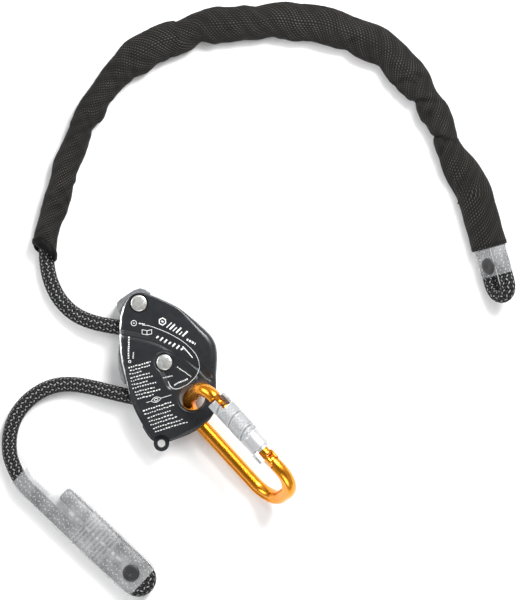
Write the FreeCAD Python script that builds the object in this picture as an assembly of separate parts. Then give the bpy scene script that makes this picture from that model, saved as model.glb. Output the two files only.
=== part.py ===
import FreeCAD, Part
import math
import os

V = FreeCAD.Vector
os.makedirs("parts", exist_ok=True)

# ---------------------------------------------------------------- driving dimensions (mm)
SHIFT_X, SHIFT_Y = -31.34, 25.35          # device frame -> row frame (base centre of device and connector)

ROPE_D = 11.5                           # rope diameter
ROPE_R = ROPE_D / 2
WRAP_R = 15.5                           # rope centre-line radius round the cam axle
Z_ROPE = 12.25                          # rope centre height inside the device

Z_REAR0, Z_REAR1 = 1.2, 3.7             # rear plate floor
Z_FRONT0, Z_FRONT1 = 20.8, 23.3         # front plate
Z_BAND = 24.3                           # raised band of the front plate
Z_HEAD = 24.8                           # rivet heads, front
Z_SHELF0, Z_SHELF1 = 16.5, 19.0         # raised rear shelf at the connector eye
CHEEK_R = (3.95, 5.75)                  # lever cheek, rear
CHEEK_F = (18.75, 20.55)                # lever cheek, front

TOP_AXLE = (-19.05, 44.1)
CAM_AXLE = (0.0, 0.0)
EYE = (20.55, -26.1)
EYE_R = 9.7
LUG = (-2.3, -60.8)
LUG_R, LUG_HOLE_R = 5.85, 2.9

LEVER_MAX = 12.0                        # degrees
CAM_RATIO = 1.0                         # cam degrees per lever degree

WIRE_R = 5.1                            # connector stock radius
GATE_V = 47.0                           # gate axis above the spine axis
HINGE_U = 75.0
SLEEVE_R, SLEEVE_BORE = 8.25, 6.5
SLEEVE_U = (14.2, 62.5)
SLIDE = 4.0                             # sleeve pull-back

SPACING = 16.5                          # strand spacing in the sewn ends
COVER_IN, COVER_OUT = 6.6, 7.4          # half thickness of the clear covers


# ---------------------------------------------------------------- helpers
def cyl(x, y, z0, z1, r):
    return Part.makeCylinder(r, z1 - z0, V(x, y, z0))


def tube(x, y, z0, z1, ri, ro):
    return cyl(x, y, z0, z1, ro).cut(cyl(x, y, z0 - 1, z1 + 1, ri))


def closed_spline(points):
    c = Part.BSplineCurve()
    c.interpolate([V(p[0], p[1], 0) for p in points], True)
    return c


def prism(points, z0, z1):
    w = Part.makePolygon([V(p[0], p[1], z0) for p in points] + [V(points[0][0], points[0][1], z0)])
    return Part.Face(w).extrude(V(0, 0, z1 - z0))


def spline_prism(points, z0, z1):
    e = closed_spline(points).toShape()
    f = Part.Face(Part.Wire([e]))
    f.translate(V(0, 0, z0))
    return f.extrude(V(0, 0, z1 - z0))


def inset(points, d):
    """points moved inward by d along the outline's normal (outline runs clockwise)"""
    out = []
    n = len(points)
    for i in range(n):
        ax, ay = points[i - 1]
        bx, by = points[(i + 1) % n]
        tx, ty = bx - ax, by - ay
        l = math.hypot(tx, ty)
        out.append((points[i][0] + ty / l * d, points[i][1] - tx / l * d))
    return out


def rounded_path(points):
    """straight runs joined by tangent arcs; returns wire, length, radii"""
    pts = [V(*p) for p in points]
    edges, radii, length = [], [], 0.0
    cursor = pts[0]
    for i in range(1, len(pts) - 1):
        a, b, c = pts[i - 1], pts[i], pts[i + 1]
        d0, d1 = (b - a), (c - b)
        l0, l1 = d0.Length, d1.Length
        d0, d1 = d0 / l0, d1 / l1
        turn = math.acos(max(-1.0, min(1.0, d0.dot(d1))))
        t = 0.45 * min(l0, l1)
        r = t / math.tan(turn / 2)
        p0, p1 = b - d0 * t, b + d1 * t
        bis = (d1 - d0)
        bis = bis / bis.Length
        centre = b + bis * (r / math.cos(turn / 2))
        mid = centre - bis * r
        edges.append(Part.LineSegment(cursor, p0).toShape())
        edges.append(Part.Arc(p0, mid, p1).toShape())
        length += (p0 - cursor).Length + r * turn
        cursor = p1
        radii.append(r)
    edges.append(Part.LineSegment(cursor, pts[-1]).toShape())
    length += (pts[-1] - cursor).Length
    return Part.Wire(edges), length, radii


def sweep(wire, profile_wire, frenet=False):
    s = Part.BRepOffsetAPI.MakePipeShell(wire)
    s.setFrenetMode(frenet)
    s.add(profile_wire)
    s.setTransitionMode(1)
    s.build()
    s.makeSolid()
    return s.shape()


def rope_tube(points, r, name):
    wire, length, radii = rounded_path(points)
    a, b = V(*points[0]), V(*points[1])
    circ = Part.Wire([Part.Circle(a, b - a, r).toShape()])
    s = sweep(wire, circ)
    print("%s: length %.1f, smallest radius %.1f, volume ratio %.4f" % (
        name, length, min(radii), s.Volume / (math.pi * r * r * length)))
    print("   radii", [round(x, 1) for x in radii])
    return s, length


def coil(origin, axis, mean_r, wire_r, turns, height):
    """helical compression or torsion spring as one solid, short runs joined by arcs"""
    per = 10
    n = int(round(turns * per))
    rp = mean_r * 1.025
    pts = [(rp * math.cos(2 * math.pi * i / per), rp * math.sin(2 * math.pi * i / per), height * i / n)
           for i in range(n + 1)]
    w, _, _ = rounded_path(pts)
    a, b = V(*pts[0]), V(*pts[1])
    s = sweep(w, Part.Wire([Part.Circle(a, b - a, wire_r).toShape()]))
    rot = FreeCAD.Rotation(V(0, 0, 1), V(*axis))
    s.Placement = FreeCAD.Placement(V(*origin), rot)
    return s


def local_frame(origin, x, y):
    """matrix that carries local x, y, z to the given axes"""
    X, Y = V(*x).normalize(), V(*y)
    Y = (Y - X * X.dot(Y)).normalize()
    Z = X.cross(Y)
    return FreeCAD.Matrix(X.x, Y.x, Z.x, origin[0], X.y, Y.y, Z.y, origin[1],
                          X.z, Y.z, Z.z, origin[2], 0, 0, 0, 1)


def carried(shape, m):
    s = shape.copy()
    s.Placement = FreeCAD.Placement(m).multiply(s.Placement)
    return s


def point(m, x, y, z=0.0):
    p = m.multVec(V(x, y, z))
    return (p.x, p.y, p.z)


def stadium(x0, x1, half, r):
    """solid along local x, section a stadium: straight +-half in y, end radius r"""
    pts = [V(x0, -half, -r), V(x0, half, -r)]
    e1 = Part.LineSegment(V(x0, -half, -r), V(x0, half, -r)).toShape()
    a1 = Part.Arc(V(x0, half, -r), V(x0, half + r, 0), V(x0, half, r)).toShape()
    e2 = Part.LineSegment(V(x0, half, r), V(x0, -half, r)).toShape()
    a2 = Part.Arc(V(x0, -half, r), V(x0, -half - r, 0), V(x0, -half, -r)).toShape()
    return Part.Face(Part.Wire([e1, a1, e2, a2])).extrude(V(x1 - x0, 0, 0))


def box(x0, x1, y0, y1, z0, z1):
    return Part.makeBox(x1 - x0, y1 - y0, z1 - z0, V(x0, y0, z0))


NODES = {}


def add(name, shape):
    if shape.ShapeType == "Compound" and len(shape.Solids) == 1:
        shape = shape.Solids[0]
    NODES[name] = shape


# ---------------------------------------------------------------- outline of the plates
OUTLINE = [(-17.0, 52.0), (-11.8, 50.7), (-2.3, 47.0), (10.35, 40.7), (19.8, 33.4), (28.2, 26.0),
           (34.5, 19.65), (38.0, 13.35), (39.3, 4.95), (39.0, -3.45), (38.5, -10.9), (38.6, -18.2),
           (39.0, -27.0), (38.0, -35.5), (34.6, -41.8), (29.25, -46.3), (23.5, -50.6), (14.55, -54.8),
           (4.05, -58.6), (-3.2, -59.8), (-8.8, -57.3), (-13.9, -50.85), (-18.3, -43.2), (-22.6, -34.6),
           (-25.95, -25.6), (-28.4, -16.1), (-30.7, -6.6), (-32.6, 2.85), (-33.6, 13.35), (-33.7, 23.85),
           (-32.9, 34.4), (-30.3, 43.0), (-26.2, 48.7), (-21.8, 51.4)]
REAR = [(x - 0.6, y - 0.9) for x, y in OUTLINE]

# boundary between the rope chamber and the raised shelf: wall centre-line
WALL_R = 22.6
WALL = [(WALL_R * math.cos(math.radians(a)), WALL_R * math.sin(math.radians(a)))
        for a in (-20, -28, -36, -44, -52, -60)]
WALL += [(-1.0, -26.7), (-13.4, -33.9), (-16.2, -41.0), (-14.6, -52.5), (-12.0, -62.0)]


def offset_line(points, d):
    out = []
    for i, p in enumerate(points):
        a = points[max(0, i - 1)]
        b = points[min(len(points) - 1, i + 1)]
        tx, ty = b[0] - a[0], b[1] - a[1]
        l = math.hypot(tx, ty)
        out.append((p[0] - ty / l * d, p[1] + tx / l * d))
    return out


wall_in = [(WALL[0][0] - 1.0, WALL[0][1])] + offset_line(WALL, -1.1)[0:]
wall_a = offset_line(WALL, 1.1)
wall_b = offset_line(WALL, -1.1)
# region on the shelf side, closed far outside to the lower right
SHELF_REGION = [(60, WALL[0][1])] + WALL + [(-12, -90), (60, -90)]

# ---------------------------------------------------------------- rear plate
rear_all = spline_prism(REAR, Z_REAR0, 30.0)
shelf_region = prism(SHELF_REGION, -5, 40)
floor = spline_prism(REAR, Z_REAR0, Z_REAR1).cut(shelf_region)
shelf = spline_prism(REAR, Z_SHELF0, Z_SHELF1).common(shelf_region)
wall = prism(wall_a + wall_b[::-1], Z_REAR0, Z_SHELF1).common(rear_all)
# right-hand part of the step, closing the chamber towards the right edge
step = prism([(WALL[0][0] - 0.6, WALL[0][1] - 1.1), (45, WALL[0][1] - 1.1), (45, WALL[0][1] + 1.1),
              (WALL[0][0] - 0.6, WALL[0][1] + 1.1)], Z_REAR0, Z_SHELF1).common(rear_all)
flange_zone = prism([(19.0, 60), (19.0, 20), (25, 5), (28, -8.8), (60, -8.8), (60, 60)], -5, 40)
rear_ring = spline_prism(REAR, Z_REAR0, 12.2).cut(spline_prism(inset(REAR, 2.2), Z_REAR0 - 1, 13.0))
rear_flange = rear_ring.common(flange_zone)
lug = cyl(LUG[0], LUG[1], Z_SHELF0, Z_SHELF1, LUG_R)
rear = floor.fuse([shelf, wall, step, rear_flange, lug])
rear = rear.cut(cyl(LUG[0], LUG[1], 0, 40, LUG_HOLE_R))
rear = rear.cut(cyl(EYE[0], EYE[1], 0, 40, EYE_R))
rear = rear.cut(cyl(TOP_AXLE[0], TOP_AXLE[1], 0, 10, 4.0))
rear = rear.cut(cyl(0, 0, 0, 10, 5.0))
add("rear_plate", rear.removeSplitter())

# ---------------------------------------------------------------- front plate
front = spline_prism(OUTLINE, Z_FRONT0, Z_FRONT1)
band_line = [(-40, 23.5), (-31.5, 23.0), (-21.0, 21.0), (-11.0, 18.8), (-2.0, 15.6), (5.5, 11.4), (19.0, 3.0),
             (27.5, -3.0), (33.0, -9.0), (45, -16.0)]
band = spline_prism(inset(OUTLINE, 0.9), Z_FRONT1 - 0.4, Z_BAND).common(
    prism(band_line + [(60, 80), (-60, 80)], 0, 40))
front_ring = spline_prism(OUTLINE, 12.4, Z_FRONT0 + 0.5).cut(
    spline_prism(inset(OUTLINE, 2.2), 12.0, Z_FRONT0 + 1.0))
front = front.fuse([band, front_ring.common(flange_zone).cut(box(-80, 80, -90, -6.2, 0, 50))])
front = front.cut(cyl(EYE[0], EYE[1], 0, 40, EYE_R))
front = front.cut(cyl(LUG[0], LUG[1], 0, 40, 6.6))
front = front.cut(cyl(TOP_AXLE[0], TOP_AXLE[1], 0, 40, 4.0))
front = front.cut(cyl(TOP_AXLE[0], TOP_AXLE[1], Z_FRONT1, 40, 7.1))
front = front.cut(cyl(0, 0, 0, 40, 5.0))
front = front.cut(cyl(0, 0, Z_FRONT1 - 0.6, 40, 7.4))
add("front_plate", front.removeSplitter())


# ---------------------------------------------------------------- axles (headed rivets)
def head(x, y, z0, z1, r, up=True):
    c = cyl(x, y, z0, z1, r)
    rim = [e for e in c.Edges if isinstance(e.Curve, Part.Circle)
           and abs(e.CenterOfMass.z - (z1 if up else z0)) < 1e-6]
    return c.makeFillet(min(0.7, (z1 - z0) * 0.55), rim)


add("top_axle", cyl(TOP_AXLE[0], TOP_AXLE[1], 1.0, Z_FRONT1 + 0.2, 4.0).fuse([
    head(TOP_AXLE[0], TOP_AXLE[1], Z_FRONT1, Z_HEAD, 6.15),
    head(TOP_AXLE[0], TOP_AXLE[1], 0.0, Z_REAR0, 6.15, False)]))
add("cam_axle", cyl(0, 0, 1.0, Z_FRONT1, 5.0).fuse([
    head(0, 0, Z_FRONT1 - 0.6, Z_HEAD, 5.9),
    head(0, 0, 0.0, Z_REAR0, 5.9, False)]))
add("eye_spacer", tube(EYE[0], EYE[1], Z_SHELF1, Z_FRONT0, EYE_R, 13.0).cut(
    prism(wall_a + [(-60, -60), (-60, 60), (60, 60), (60, WALL[0][1])], 0, 40)))

# ---------------------------------------------------------------- rope guide behind the bend of the rope
guide = tube(0, 0, Z_REAR1, Z_FRONT0, WRAP_R + ROPE_R + 0.1, 27.6)
guide = guide.common(prism([(0, 0), (60 * math.cos(math.radians(62)), 60 * math.sin(math.radians(62))), (80, 40),
                            (80, -20), (60, WALL[0][1] + 1.2), (0, WALL[0][1] + 1.2)], 0, 40))
guide = guide.common(prism([(0, 0), (60, 110), (120, 0), (60, -27.5), ], 0, 40))
add("rope_guide", guide)

# ---------------------------------------------------------------- lever on the top axle
bush_r = 5.5
add("lever_bush", tube(TOP_AXLE[0], TOP_AXLE[1], Z_REAR1, Z_FRONT0, 4.0, bush_r))
CHEEK = [(-35.4, 44.6), (-35.5, 41.0), (-33.9, 37.0), (-33.0, 33.5), (-33.1, 25.0), (-33.2, 17.0), (-34.3, 11.0),
         (-34.6, 3.0), (-34.2, -5.0), (-32.6, -12.5), (-30.0, -16.5), (-26.0, -15.6), (-20.5, -10.5), (-13.5, -7.5),
         (-11.6, -2.5), (-12.2, 3.2), (-18.0, 8.6), (-22.5, 16.0), (-22.0, 26.0), (-14.5, 35.0), (-10.6, 41.5),
         (-10.6, 47.0), (-11.2, 51.5), (-14.6, 54.4), (-18.4, 55.4), (-23.0, 53.8), (-28.3, 50.4), (-32.9, 47.2)]
# round the pivot end of each cheek stays inside the tab; the tab wall joins the two cheeks
TAB_OUT = [(-35.4, 44.6), (-32.9, 47.2), (-28.3, 50.4), (-23.0, 53.8), (-18.4, 55.4), (-14.6, 54.4), (-11.2, 51.9)]
TAB_IN = [(-13.0, 51.2), (-15.5, 52.4), (-18.2, 52.9), (-22.0, 51.4), (-27.0, 48.0), (-31.4, 44.8), (-32.9, 42.6),
          (-35.1, 42.6)]


def about(shape, axis_xy, deg):
    s = shape.copy()
    s.rotate(V(axis_xy[0], axis_xy[1], 0), V(0, 0, -1), deg)
    return s


def turn_pt(p, c, deg):
    """p turned clockwise by deg about c"""
    t = math.radians(deg)
    x, y = p[0] - c[0], p[1] - c[1]
    return (c[0] + x * math.cos(t) + y * math.sin(t), c[1] - x * math.sin(t) + y * math.cos(t))


PIN_R = 1.5
CAM_PIN = (-26.0, -7.5)
slot = None
prev = None
for i in range(-1, 15):
    th = LEVER_MAX * i / 13.0
    q = turn_pt(CAM_PIN, CAM_AXLE, th * CAM_RATIO)      # where the cam pin is
    q = turn_pt(q, TOP_AXLE, -th)                       # seen from the lever
    c = cyl(q[0], q[1], 0, 30, PIN_R + 0.1)
    parts_ = [c]
    if prev:
        dx, dy = q[0] - prev[0], q[1] - prev[1]
        l = math.hypot(dx, dy)
        nx, ny = -dy / l * (PIN_R + 0.1), dx / l * (PIN_R + 0.1)
        parts_.append(prism([(prev[0] + nx, prev[1] + ny), (q[0] + nx, q[1] + ny),
                             (q[0] - nx, q[1] - ny), (prev[0] - nx, prev[1] - ny)], 0, 30))
    slot = c if slot is None else slot.fuse(parts_)
    prev = q
print("cam pin slot runs from", CAM_PIN, "to", prev)
lever = None
for z0, z1 in (CHEEK_R, CHEEK_F):
    ch = prism(CHEEK, z0, z1).cut(cyl(TOP_AXLE[0], TOP_AXLE[1], 0, 30, bush_r + 0.05)).cut(slot)
    ch = ch.cut(cyl(-31.0, 5.0, 0, 30, 1.6))
    lever = ch if lever is None else lever.fuse(ch)
tabwall = prism(TAB_OUT + TAB_IN, CHEEK_R[0], CHEEK_F[1])
add("release_lever", lever.fuse(tabwall).removeSplitter())
add("lever_pin", cyl(-31.0, 5.0, CHEEK_R[0], CHEEK_F[1], 1.6).fuse(cyl(-31.0, 5.0, CHEEK_R[1] + 0.02, CHEEK_F[0] - 0.02, 2.3)))
add("lever_spring", coil((TOP_AXLE[0], TOP_AXLE[1], 8.0), (0, 0, 1), 7.0, 0.6, 4, 8.0))

# ---------------------------------------------------------------- cam
CZ0, CZ1 = 6.1, 18.4
nose = (-6.0, -12.6)
cam = cyl(0, 0, CZ0, CZ1, 9.4)


def lobe(c0, r0, c1, r1):
    """hull of two circles as a prism plus the end circle"""
    dx, dy = c1[0] - c0[0], c1[1] - c0[1]
    d = math.hypot(dx, dy)
    base = math.atan2(dy, dx)
    off = math.acos((r0 - r1) / d)
    pts = []
    for s in (1, -1):
        a = base + s * off
        pts.append([(c0[0] + r0 * math.cos(a), c0[1] + r0 * math.sin(a)),
                    (c1[0] + r1 * math.cos(a), c1[1] + r1 * math.sin(a))])
    poly = [pts[0][0], pts[0][1], pts[1][1], pts[1][0]]
    return prism(poly, CZ0, CZ1).fuse(cyl(c1[0], c1[1], CZ0, CZ1, r1))


cam = cam.fuse([lobe((0, 0), 9.4, nose, 1.6), lobe((0, 0), 7.6, CAM_PIN, 3.6), lobe(nose, 1.6, (-18.0, -7.0), 3.0)])
# friction teeth on the face that bears on the rope
for k in range(4):
    t = k / 3.0
    ang = math.radians(-76 - 22 * t)
    rr = 9.55 / math.cos(ang + math.radians(60)) if t > 0 else 9.75
    px, py = rr * math.cos(ang), rr * math.sin(ang)
    cam = cam.cut(cyl(px + 0.25, py - 0.35, CZ0 - 1, CZ1 + 1, 0.7))
cam = cam.cut(cyl(0, 0, 0, 30, 6.0)).cut(cyl(0, 0, 12.2, 30, 8.0)).cut(cyl(CAM_PIN[0], CAM_PIN[1], 0, 30, PIN_R))
add("cam", cam.removeSplitter())
add("cam_bush", tube(0, 0, CZ0, CZ1, 5.05, 6.0))
add("cam_washers", Part.makeCompound([tube(0, 0, Z_REAR1, 5.9, 5.0, 8.0), tube(0, 0, 18.6, Z_FRONT0, 5.0, 8.0)]))
add("cam_spring", coil((0, 0, 12.9), (0, 0, 1), 7.1, 0.5, 4, 4.6))
add("drive_pin", cyl(CAM_PIN[0], CAM_PIN[1], 4.1, 20.4, PIN_R))

# ---------------------------------------------------------------- rope


def rope_in_body():
    """straight in, a bend, 120 degrees round the cam axle, a bend, straight out"""
    z = Z_ROPE

    def P(x, y):
        return V(x, y, z)
    e_in, k_in = P(-34.1, 25.95), P(-6.4, 21.58)
    t_in = P(WRAP_R * math.cos(math.radians(60)), WRAP_R * math.sin(math.radians(60)))
    t_out = P(WRAP_R * math.cos(math.radians(60)), -WRAP_R * math.sin(math.radians(60)))
    k_out, e_out = P(-17.46, -27.96), P(-28.35, -25.45)

    def corner(a, b, c, t):
        d0, d1 = (b - a).normalize(), (c - b).normalize()
        turn = math.acos(d0.dot(d1))
        r = t / math.tan(turn / 2)
        p0, p1 = b - d0 * t, b + d1 * t
        bis = (d1 - d0).normalize()
        mid = b + bis * (r / math.cos(turn / 2) - r)
        return p0, mid, p1, r
    a0, a1, a2, r1 = corner(e_in, k_in, t_in, 7.0)
    b0, b1, b2, r2 = corner(t_out, k_out, e_out, 9.0)
    print("rope inside: bend radii %.1f, %.1f, %.1f" % (r1, WRAP_R, r2))
    edges = [Part.LineSegment(e_in, a0).toShape(), Part.Arc(a0, a1, a2).toShape(),
             Part.LineSegment(a2, t_in).toShape(), Part.Arc(t_in, P(WRAP_R, 0), t_out).toShape(),
             Part.LineSegment(t_out, b0).toShape(), Part.Arc(b0, b1, b2).toShape(),
             Part.LineSegment(b2, e_out).toShape()]
    w = Part.Wire(edges)
    s = sweep(w, Part.Wire([Part.Circle(e_in, k_in - e_in, ROPE_R).toShape()]))
    print("rope inside: length %.1f, volume ratio %.4f" % (w.Length, s.Volume / (math.pi * ROPE_R ** 2 * w.Length)))
    return s, w.Length


inner, LEN_IN = rope_in_body()
add("rope_in_body", inner)

# sewn ends: local x along the end, y across the two strands
STOP_M = local_frame((-98.55, -88.35, 8.5), (0.726, -0.688, 0), (0.688, 0.726, 0))
TILT = math.radians(49)
EYE_DIR = V(0.27, -0.963, 0).normalize()
EYE_SIDE = V(0.963, 0.27, 0).normalize()
EYE_M = local_frame((232.3, 125.4, 15.0), tuple(EYE_DIR),
                    (EYE_SIDE.x * math.cos(TILT), EYE_SIDE.y * math.cos(TILT), math.sin(TILT)))
H = SPACING / 2


def end_points(m, x_fold, strand, back):
    """main strand, fold and returning strand in the local frame"""
    loc = [(x, y) for x, y in strand]
    t = H * math.tan(math.radians(30))
    loc += [(x_fold + t, -H), (x_fold + H / math.cos(math.radians(30)), 0.0), (x_fold + t, H)]
    loc += [(x, y) for x, y in back]
    return [point(m, x, y) for x, y in loc]


UPPER = [(-34.1, 25.95, 12.25), (-43.98, 27.51, 12.25), (-54.0, 29.7, 10.10), (-64.4, 33.6, 7.60), (-73.4, 39.9, 6.30),
         (-81.2, 49.5, 6.15), (-86.3, 60.8, 6.15), (-88.8, 72.4, 6.30), (-89.4, 84.4, 6.90), (-88.1, 96.8, 7.40),
         (-85.1, 109.1, 7.60), (-81.2, 121.9, 7.60), (-77.4, 134.6, 7.60), (-73.4, 147.8, 7.60), (-68.1, 162.0, 7.60),
         (-61.2, 178.1, 7.60), (-51.6, 194.5, 7.60), (-38.9, 211.2, 7.60), (-20.9, 227.5, 7.60), (2.0, 241.8, 7.60),
         (26.4, 250.2, 7.60), (49.6, 253.4, 7.60), (70.6, 255.1, 7.60), (90.9, 255.6, 7.60), (111.9, 253.8, 7.60),
         (132.1, 248.9, 7.60), (152.0, 241.0, 7.60), (169.6, 230.2, 7.60), (183.9, 216.5, 7.60),
         (195.4, 201.0, 7.70), (204.6, 184.8, 7.90), (212.4, 166.9, 8.20), (219.6, 147.0, 8.55)]
UPPER_END = end_points(EYE_M, 70.0, [(2.0, -8.35), (22.0, -8.15), (42.0, -8.35), (59.5, -8.2)],
                       [(59.0, 8.45), (43.0, 8.2), (27.0, 8.4)])
LOWER = [(-28.35, -25.45, 12.25), (-38.095, -23.203, 12.25), (-48.4, -20.6, 10.00), (-58.6, -18.3, 7.60),
         (-68.0, -16.9, 6.30), (-77.9, -16.8, 6.10), (-87.2, -19.0, 6.10), (-95.9, -23.4, 6.10),
         (-103.7, -29.5, 6.10), (-110.1, -37.1, 6.10), (-114.6, -46.0, 6.15), (-116.9, -55.7, 6.40),
         (-117.2, -65.5, 6.90), (-115.4, -75.4, 7.70)]
LOWER_END = end_points(STOP_M, 107.8, [(-4.0, -8.3), (14.0, -8.15), (38.0, -8.4), (62.0, -8.15), (82.0, -8.4),
                                       (98.0, -8.2)],
                       [(97.0, 8.45), (80.0, 8.15), (60.0, 8.4), (40.0, 8.2), (23.0, 8.4)])

up_solid, LEN_UP = rope_tube(UPPER + UPPER_END, ROPE_R, "rope_upper")
lo_solid, LEN_LO = rope_tube(LOWER + LOWER_END, ROPE_R, "rope_lower")
add("rope_upper", up_solid)
add("rope_lower", lo_solid)
print("UPPER route", [tuple(round(c, 2) for c in p) for p in UPPER + UPPER_END])
print("LOWER route", [tuple(round(c, 2) for c in p) for p in LOWER + LOWER_END])


def sewn_end(m, x0, x1, rivet_x, stitch_x, names):
    cover = stadium(x0, x1, H, COVER_OUT).cut(stadium(x0 - 1, x1 + 1, H, COVER_IN))
    shank = Part.makeCylinder(2.0, 2 * COVER_OUT + 0.6, V(rivet_x, 0, -COVER_OUT - 0.3))
    cover = cover.cut(Part.makeCylinder(2.0, 40, V(rivet_x, 0, -20)))
    heads = []
    for s in (1, -1):
        h = Part.makeCylinder(6.3, 1.0, V(rivet_x, 0, COVER_OUT), V(0, 0, 1))
        h = h.makeFillet(0.6, [e for e in h.Edges if abs(e.CenterOfMass.z - COVER_OUT - 1.0) < 1e-6
                               and isinstance(e.Curve, Part.Circle)])
        if s < 0:
            h.rotate(V(rivet_x, 0, 0), V(1, 0, 0), 180)
        heads.append(h)
    rivet = shank.fuse(heads)
    loops = []
    for i in range(9):
        xx = stitch_x + 3.4 * i
        loops.append(stadium(xx, xx + 1.3, H, ROPE_R + 0.8).cut(stadium(xx - 1, xx + 3, H, ROPE_R + 0.3)))
    add(names[0], carried(cover, m))
    add(names[1], carried(rivet, m))
    add(names[2], carried(Part.makeCompound(loops), m))


sewn_end(STOP_M, 0.0, 113.0, 101.2, 50.0, ("stop_cover", "stop_rivet", "stop_stitching"))
sewn_end(EYE_M, 2.0, 63.5, 54.5, 14.0, ("eye_cover", "eye_rivet", "eye_stitching"))

# ---------------------------------------------------------------- protective sleeve of woven tube
SL_W, SL_H = 12.3, 7.3            # half width and half height of the flat tube
SL_WALL = 0.8
sl_pts = [(-89.3, 83.0, 7.6), (-88.1, 96.8, 7.6)] + [p for p in UPPER[10:]] + [point(EYE_M, 3.0, -8.2)]


def flat_profile(a, b, w, h):
    """ellipse square to a-b, wide across, low in height"""
    d = (V(*b) - V(*a)).normalize()
    side = V(0, 0, 1).cross(d).normalize()
    upv = d.cross(side)
    e = Part.Ellipse(V(*a) + side * w, V(*a) + upv * h, V(*a))
    return Part.Wire([e.toShape()])


sl_wire, sl_len, sl_rad = rounded_path(sl_pts)
sl_out = sweep(sl_wire, flat_profile(sl_pts[0], sl_pts[1], SL_W, SL_H))
sl_in = sweep(sl_wire, flat_profile(sl_pts[0], sl_pts[1], SL_W - SL_WALL, SL_H - SL_WALL))
print("sleeve tube length %.1f, outer volume ratio %.4f" % (sl_len, sl_out.Volume / (math.pi * SL_W * SL_H * sl_len)))
cuff = stadium(0.0, 41.5, H, COVER_OUT + 1.2).cut(stadium(1.4, 45, H, COVER_OUT + 0.2))
cuff = carried(cuff, EYE_M)
bore_path, _, _ = rounded_path(UPPER[-3:] + [point(EYE_M, 3.0, -8.2), point(EYE_M, 10.0, -8.4)])
bore = sweep(bore_path, Part.Wire([Part.Circle(V(*UPPER[-3]), V(*UPPER[-2]) - V(*UPPER[-3]), ROPE_R + 0.25).toShape()]))
inner_box = carried(stadium(1.4, 45, H, COVER_OUT + 0.2), EYE_M)
tube_part = sl_out.cut(sl_in).cut(inner_box)
protective = tube_part.fuse(cuff).cut(bore)
add("protective_sleeve", protective)

# ---------------------------------------------------------------- connector (carabiner)
A = V(0.675, -0.738, 0).normalize()
PH = V(0.738, 0.675, 0).normalize()
B = (PH * 0.480 + V(0, 0, 1) * 0.877).normalize()
ORIGIN = (12.8, -31.6, 5.4)
CAR = local_frame(ORIGIN, tuple(A), tuple(B))


def uv(u, v, w=0.0):
    return V(u, v, w)


def ucyl(u0, u1, v, r, w=0.0):
    return Part.makeCylinder(r, u1 - u0, V(u0, v, w), V(1, 0, 0))


def wcyl(u, v, w0, w1, r):
    return Part.makeCylinder(r, w1 - w0, V(u, v, w0))


RN = 12.4
path = Part.Wire([
    Part.Arc(V(RN, GATE_V, 0), V(RN - RN * math.sin(math.pi / 4), GATE_V - RN + RN * math.cos(math.pi / 4), 0),
             V(0, GATE_V - RN, 0)).toShape(),
    Part.LineSegment(V(0, GATE_V - RN, 0), V(0, 20, 0)).toShape(),
    Part.Arc(V(0, 20, 0), V(20 - 20 * math.cos(math.pi / 4), 20 - 20 * math.sin(math.pi / 4), 0), V(20, 0, 0)).toShape(),
    Part.LineSegment(V(20, 0, 0), V(81, 0, 0)).toShape(),
    Part.Arc(V(81, 0, 0), V(81 + 20 * math.sin(math.pi / 4), 20 - 20 * math.cos(math.pi / 4), 0), V(101, 20, 0)).toShape(),
    Part.LineSegment(V(101, 20, 0), V(101, 30, 0)).toShape(),
    Part.Arc(V(101, 30, 0), V(84 + 17 * math.cos(math.pi / 4), 30 + 17 * math.sin(math.pi / 4), 0), V(84, 47, 0)).toShape(),
    Part.LineSegment(V(84, 47, 0), V(79.8, 47, 0)).toShape()])
wire = sweep(path, Part.Wire([Part.Circle(V(RN, GATE_V, 0), V(1, 0, 0), WIRE_R).toShape()]))
print("connector wire volume ratio %.4f" % (wire.Volume / (math.pi * WIRE_R ** 2 * path.Length)))
neck = ucyl(RN - 1.0, 18.6, GATE_V, 3.2)
hook = ucyl(18.5, 20.5, GATE_V, 4.2)
tang = wcyl(HINGE_U, GATE_V, -2.0, 2.0, 4.2).fuse(box(HINGE_U, 80.5, GATE_V - 4.2, GATE_V + 4.2, -2.0, 2.0))
frame = wire.fuse([neck, hook, tang]).cut(wcyl(HINGE_U, GATE_V, -6, 6, 1.2))
add("carabiner_frame", carried(frame, CAR))
add("gate_pivot_pin", carried(wcyl(HINGE_U, GATE_V, -4.9, 4.9, 1.2), CAR))

GR = 4.47
gate = ucyl(21.2, HINGE_U - 4.6, GATE_V, GR)
gate = gate.fuse(ucyl(60.0, 61.2, GATE_V, 5.5))
ears = wcyl(HINGE_U, GATE_V, -4.6, 4.6, 4.2).fuse(box(HINGE_U - 6.5, HINGE_U, GATE_V - 4.0, GATE_V + 4.0, -4.4, 4.4).common(
    ucyl(HINGE_U - 7, HINGE_U + 1, GATE_V, 5.2)))
gate = gate.fuse(ears)
gate = gate.cut(box(HINGE_U - 4.9, HINGE_U + 6, GATE_V - 6, GATE_V + 6, -2.3, 2.3))
gate = gate.cut(wcyl(HINGE_U, GATE_V, -6, 6, 1.26))
gate = gate.cut(ucyl(50.0, HINGE_U - 4.0, GATE_V, 2.2))
gate = gate.cut(wcyl(30.0, GATE_V, -6, 6, 1.0))
add("gate", carried(gate.removeSplitter(), CAR))
add("guide_pin", carried(wcyl(30.0, GATE_V, -6.2, 6.2, 1.0), CAR))
plunger = ucyl(64.2, HINGE_U - 5.2, GATE_V, 2.15)
add("gate_plunger", carried(plunger, CAR))
gs = coil((50.4, GATE_V, 0), (1, 0, 0), 1.6, 0.35, 6, 13.4)
add("gate_spring", carried(gs, CAR))

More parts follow.
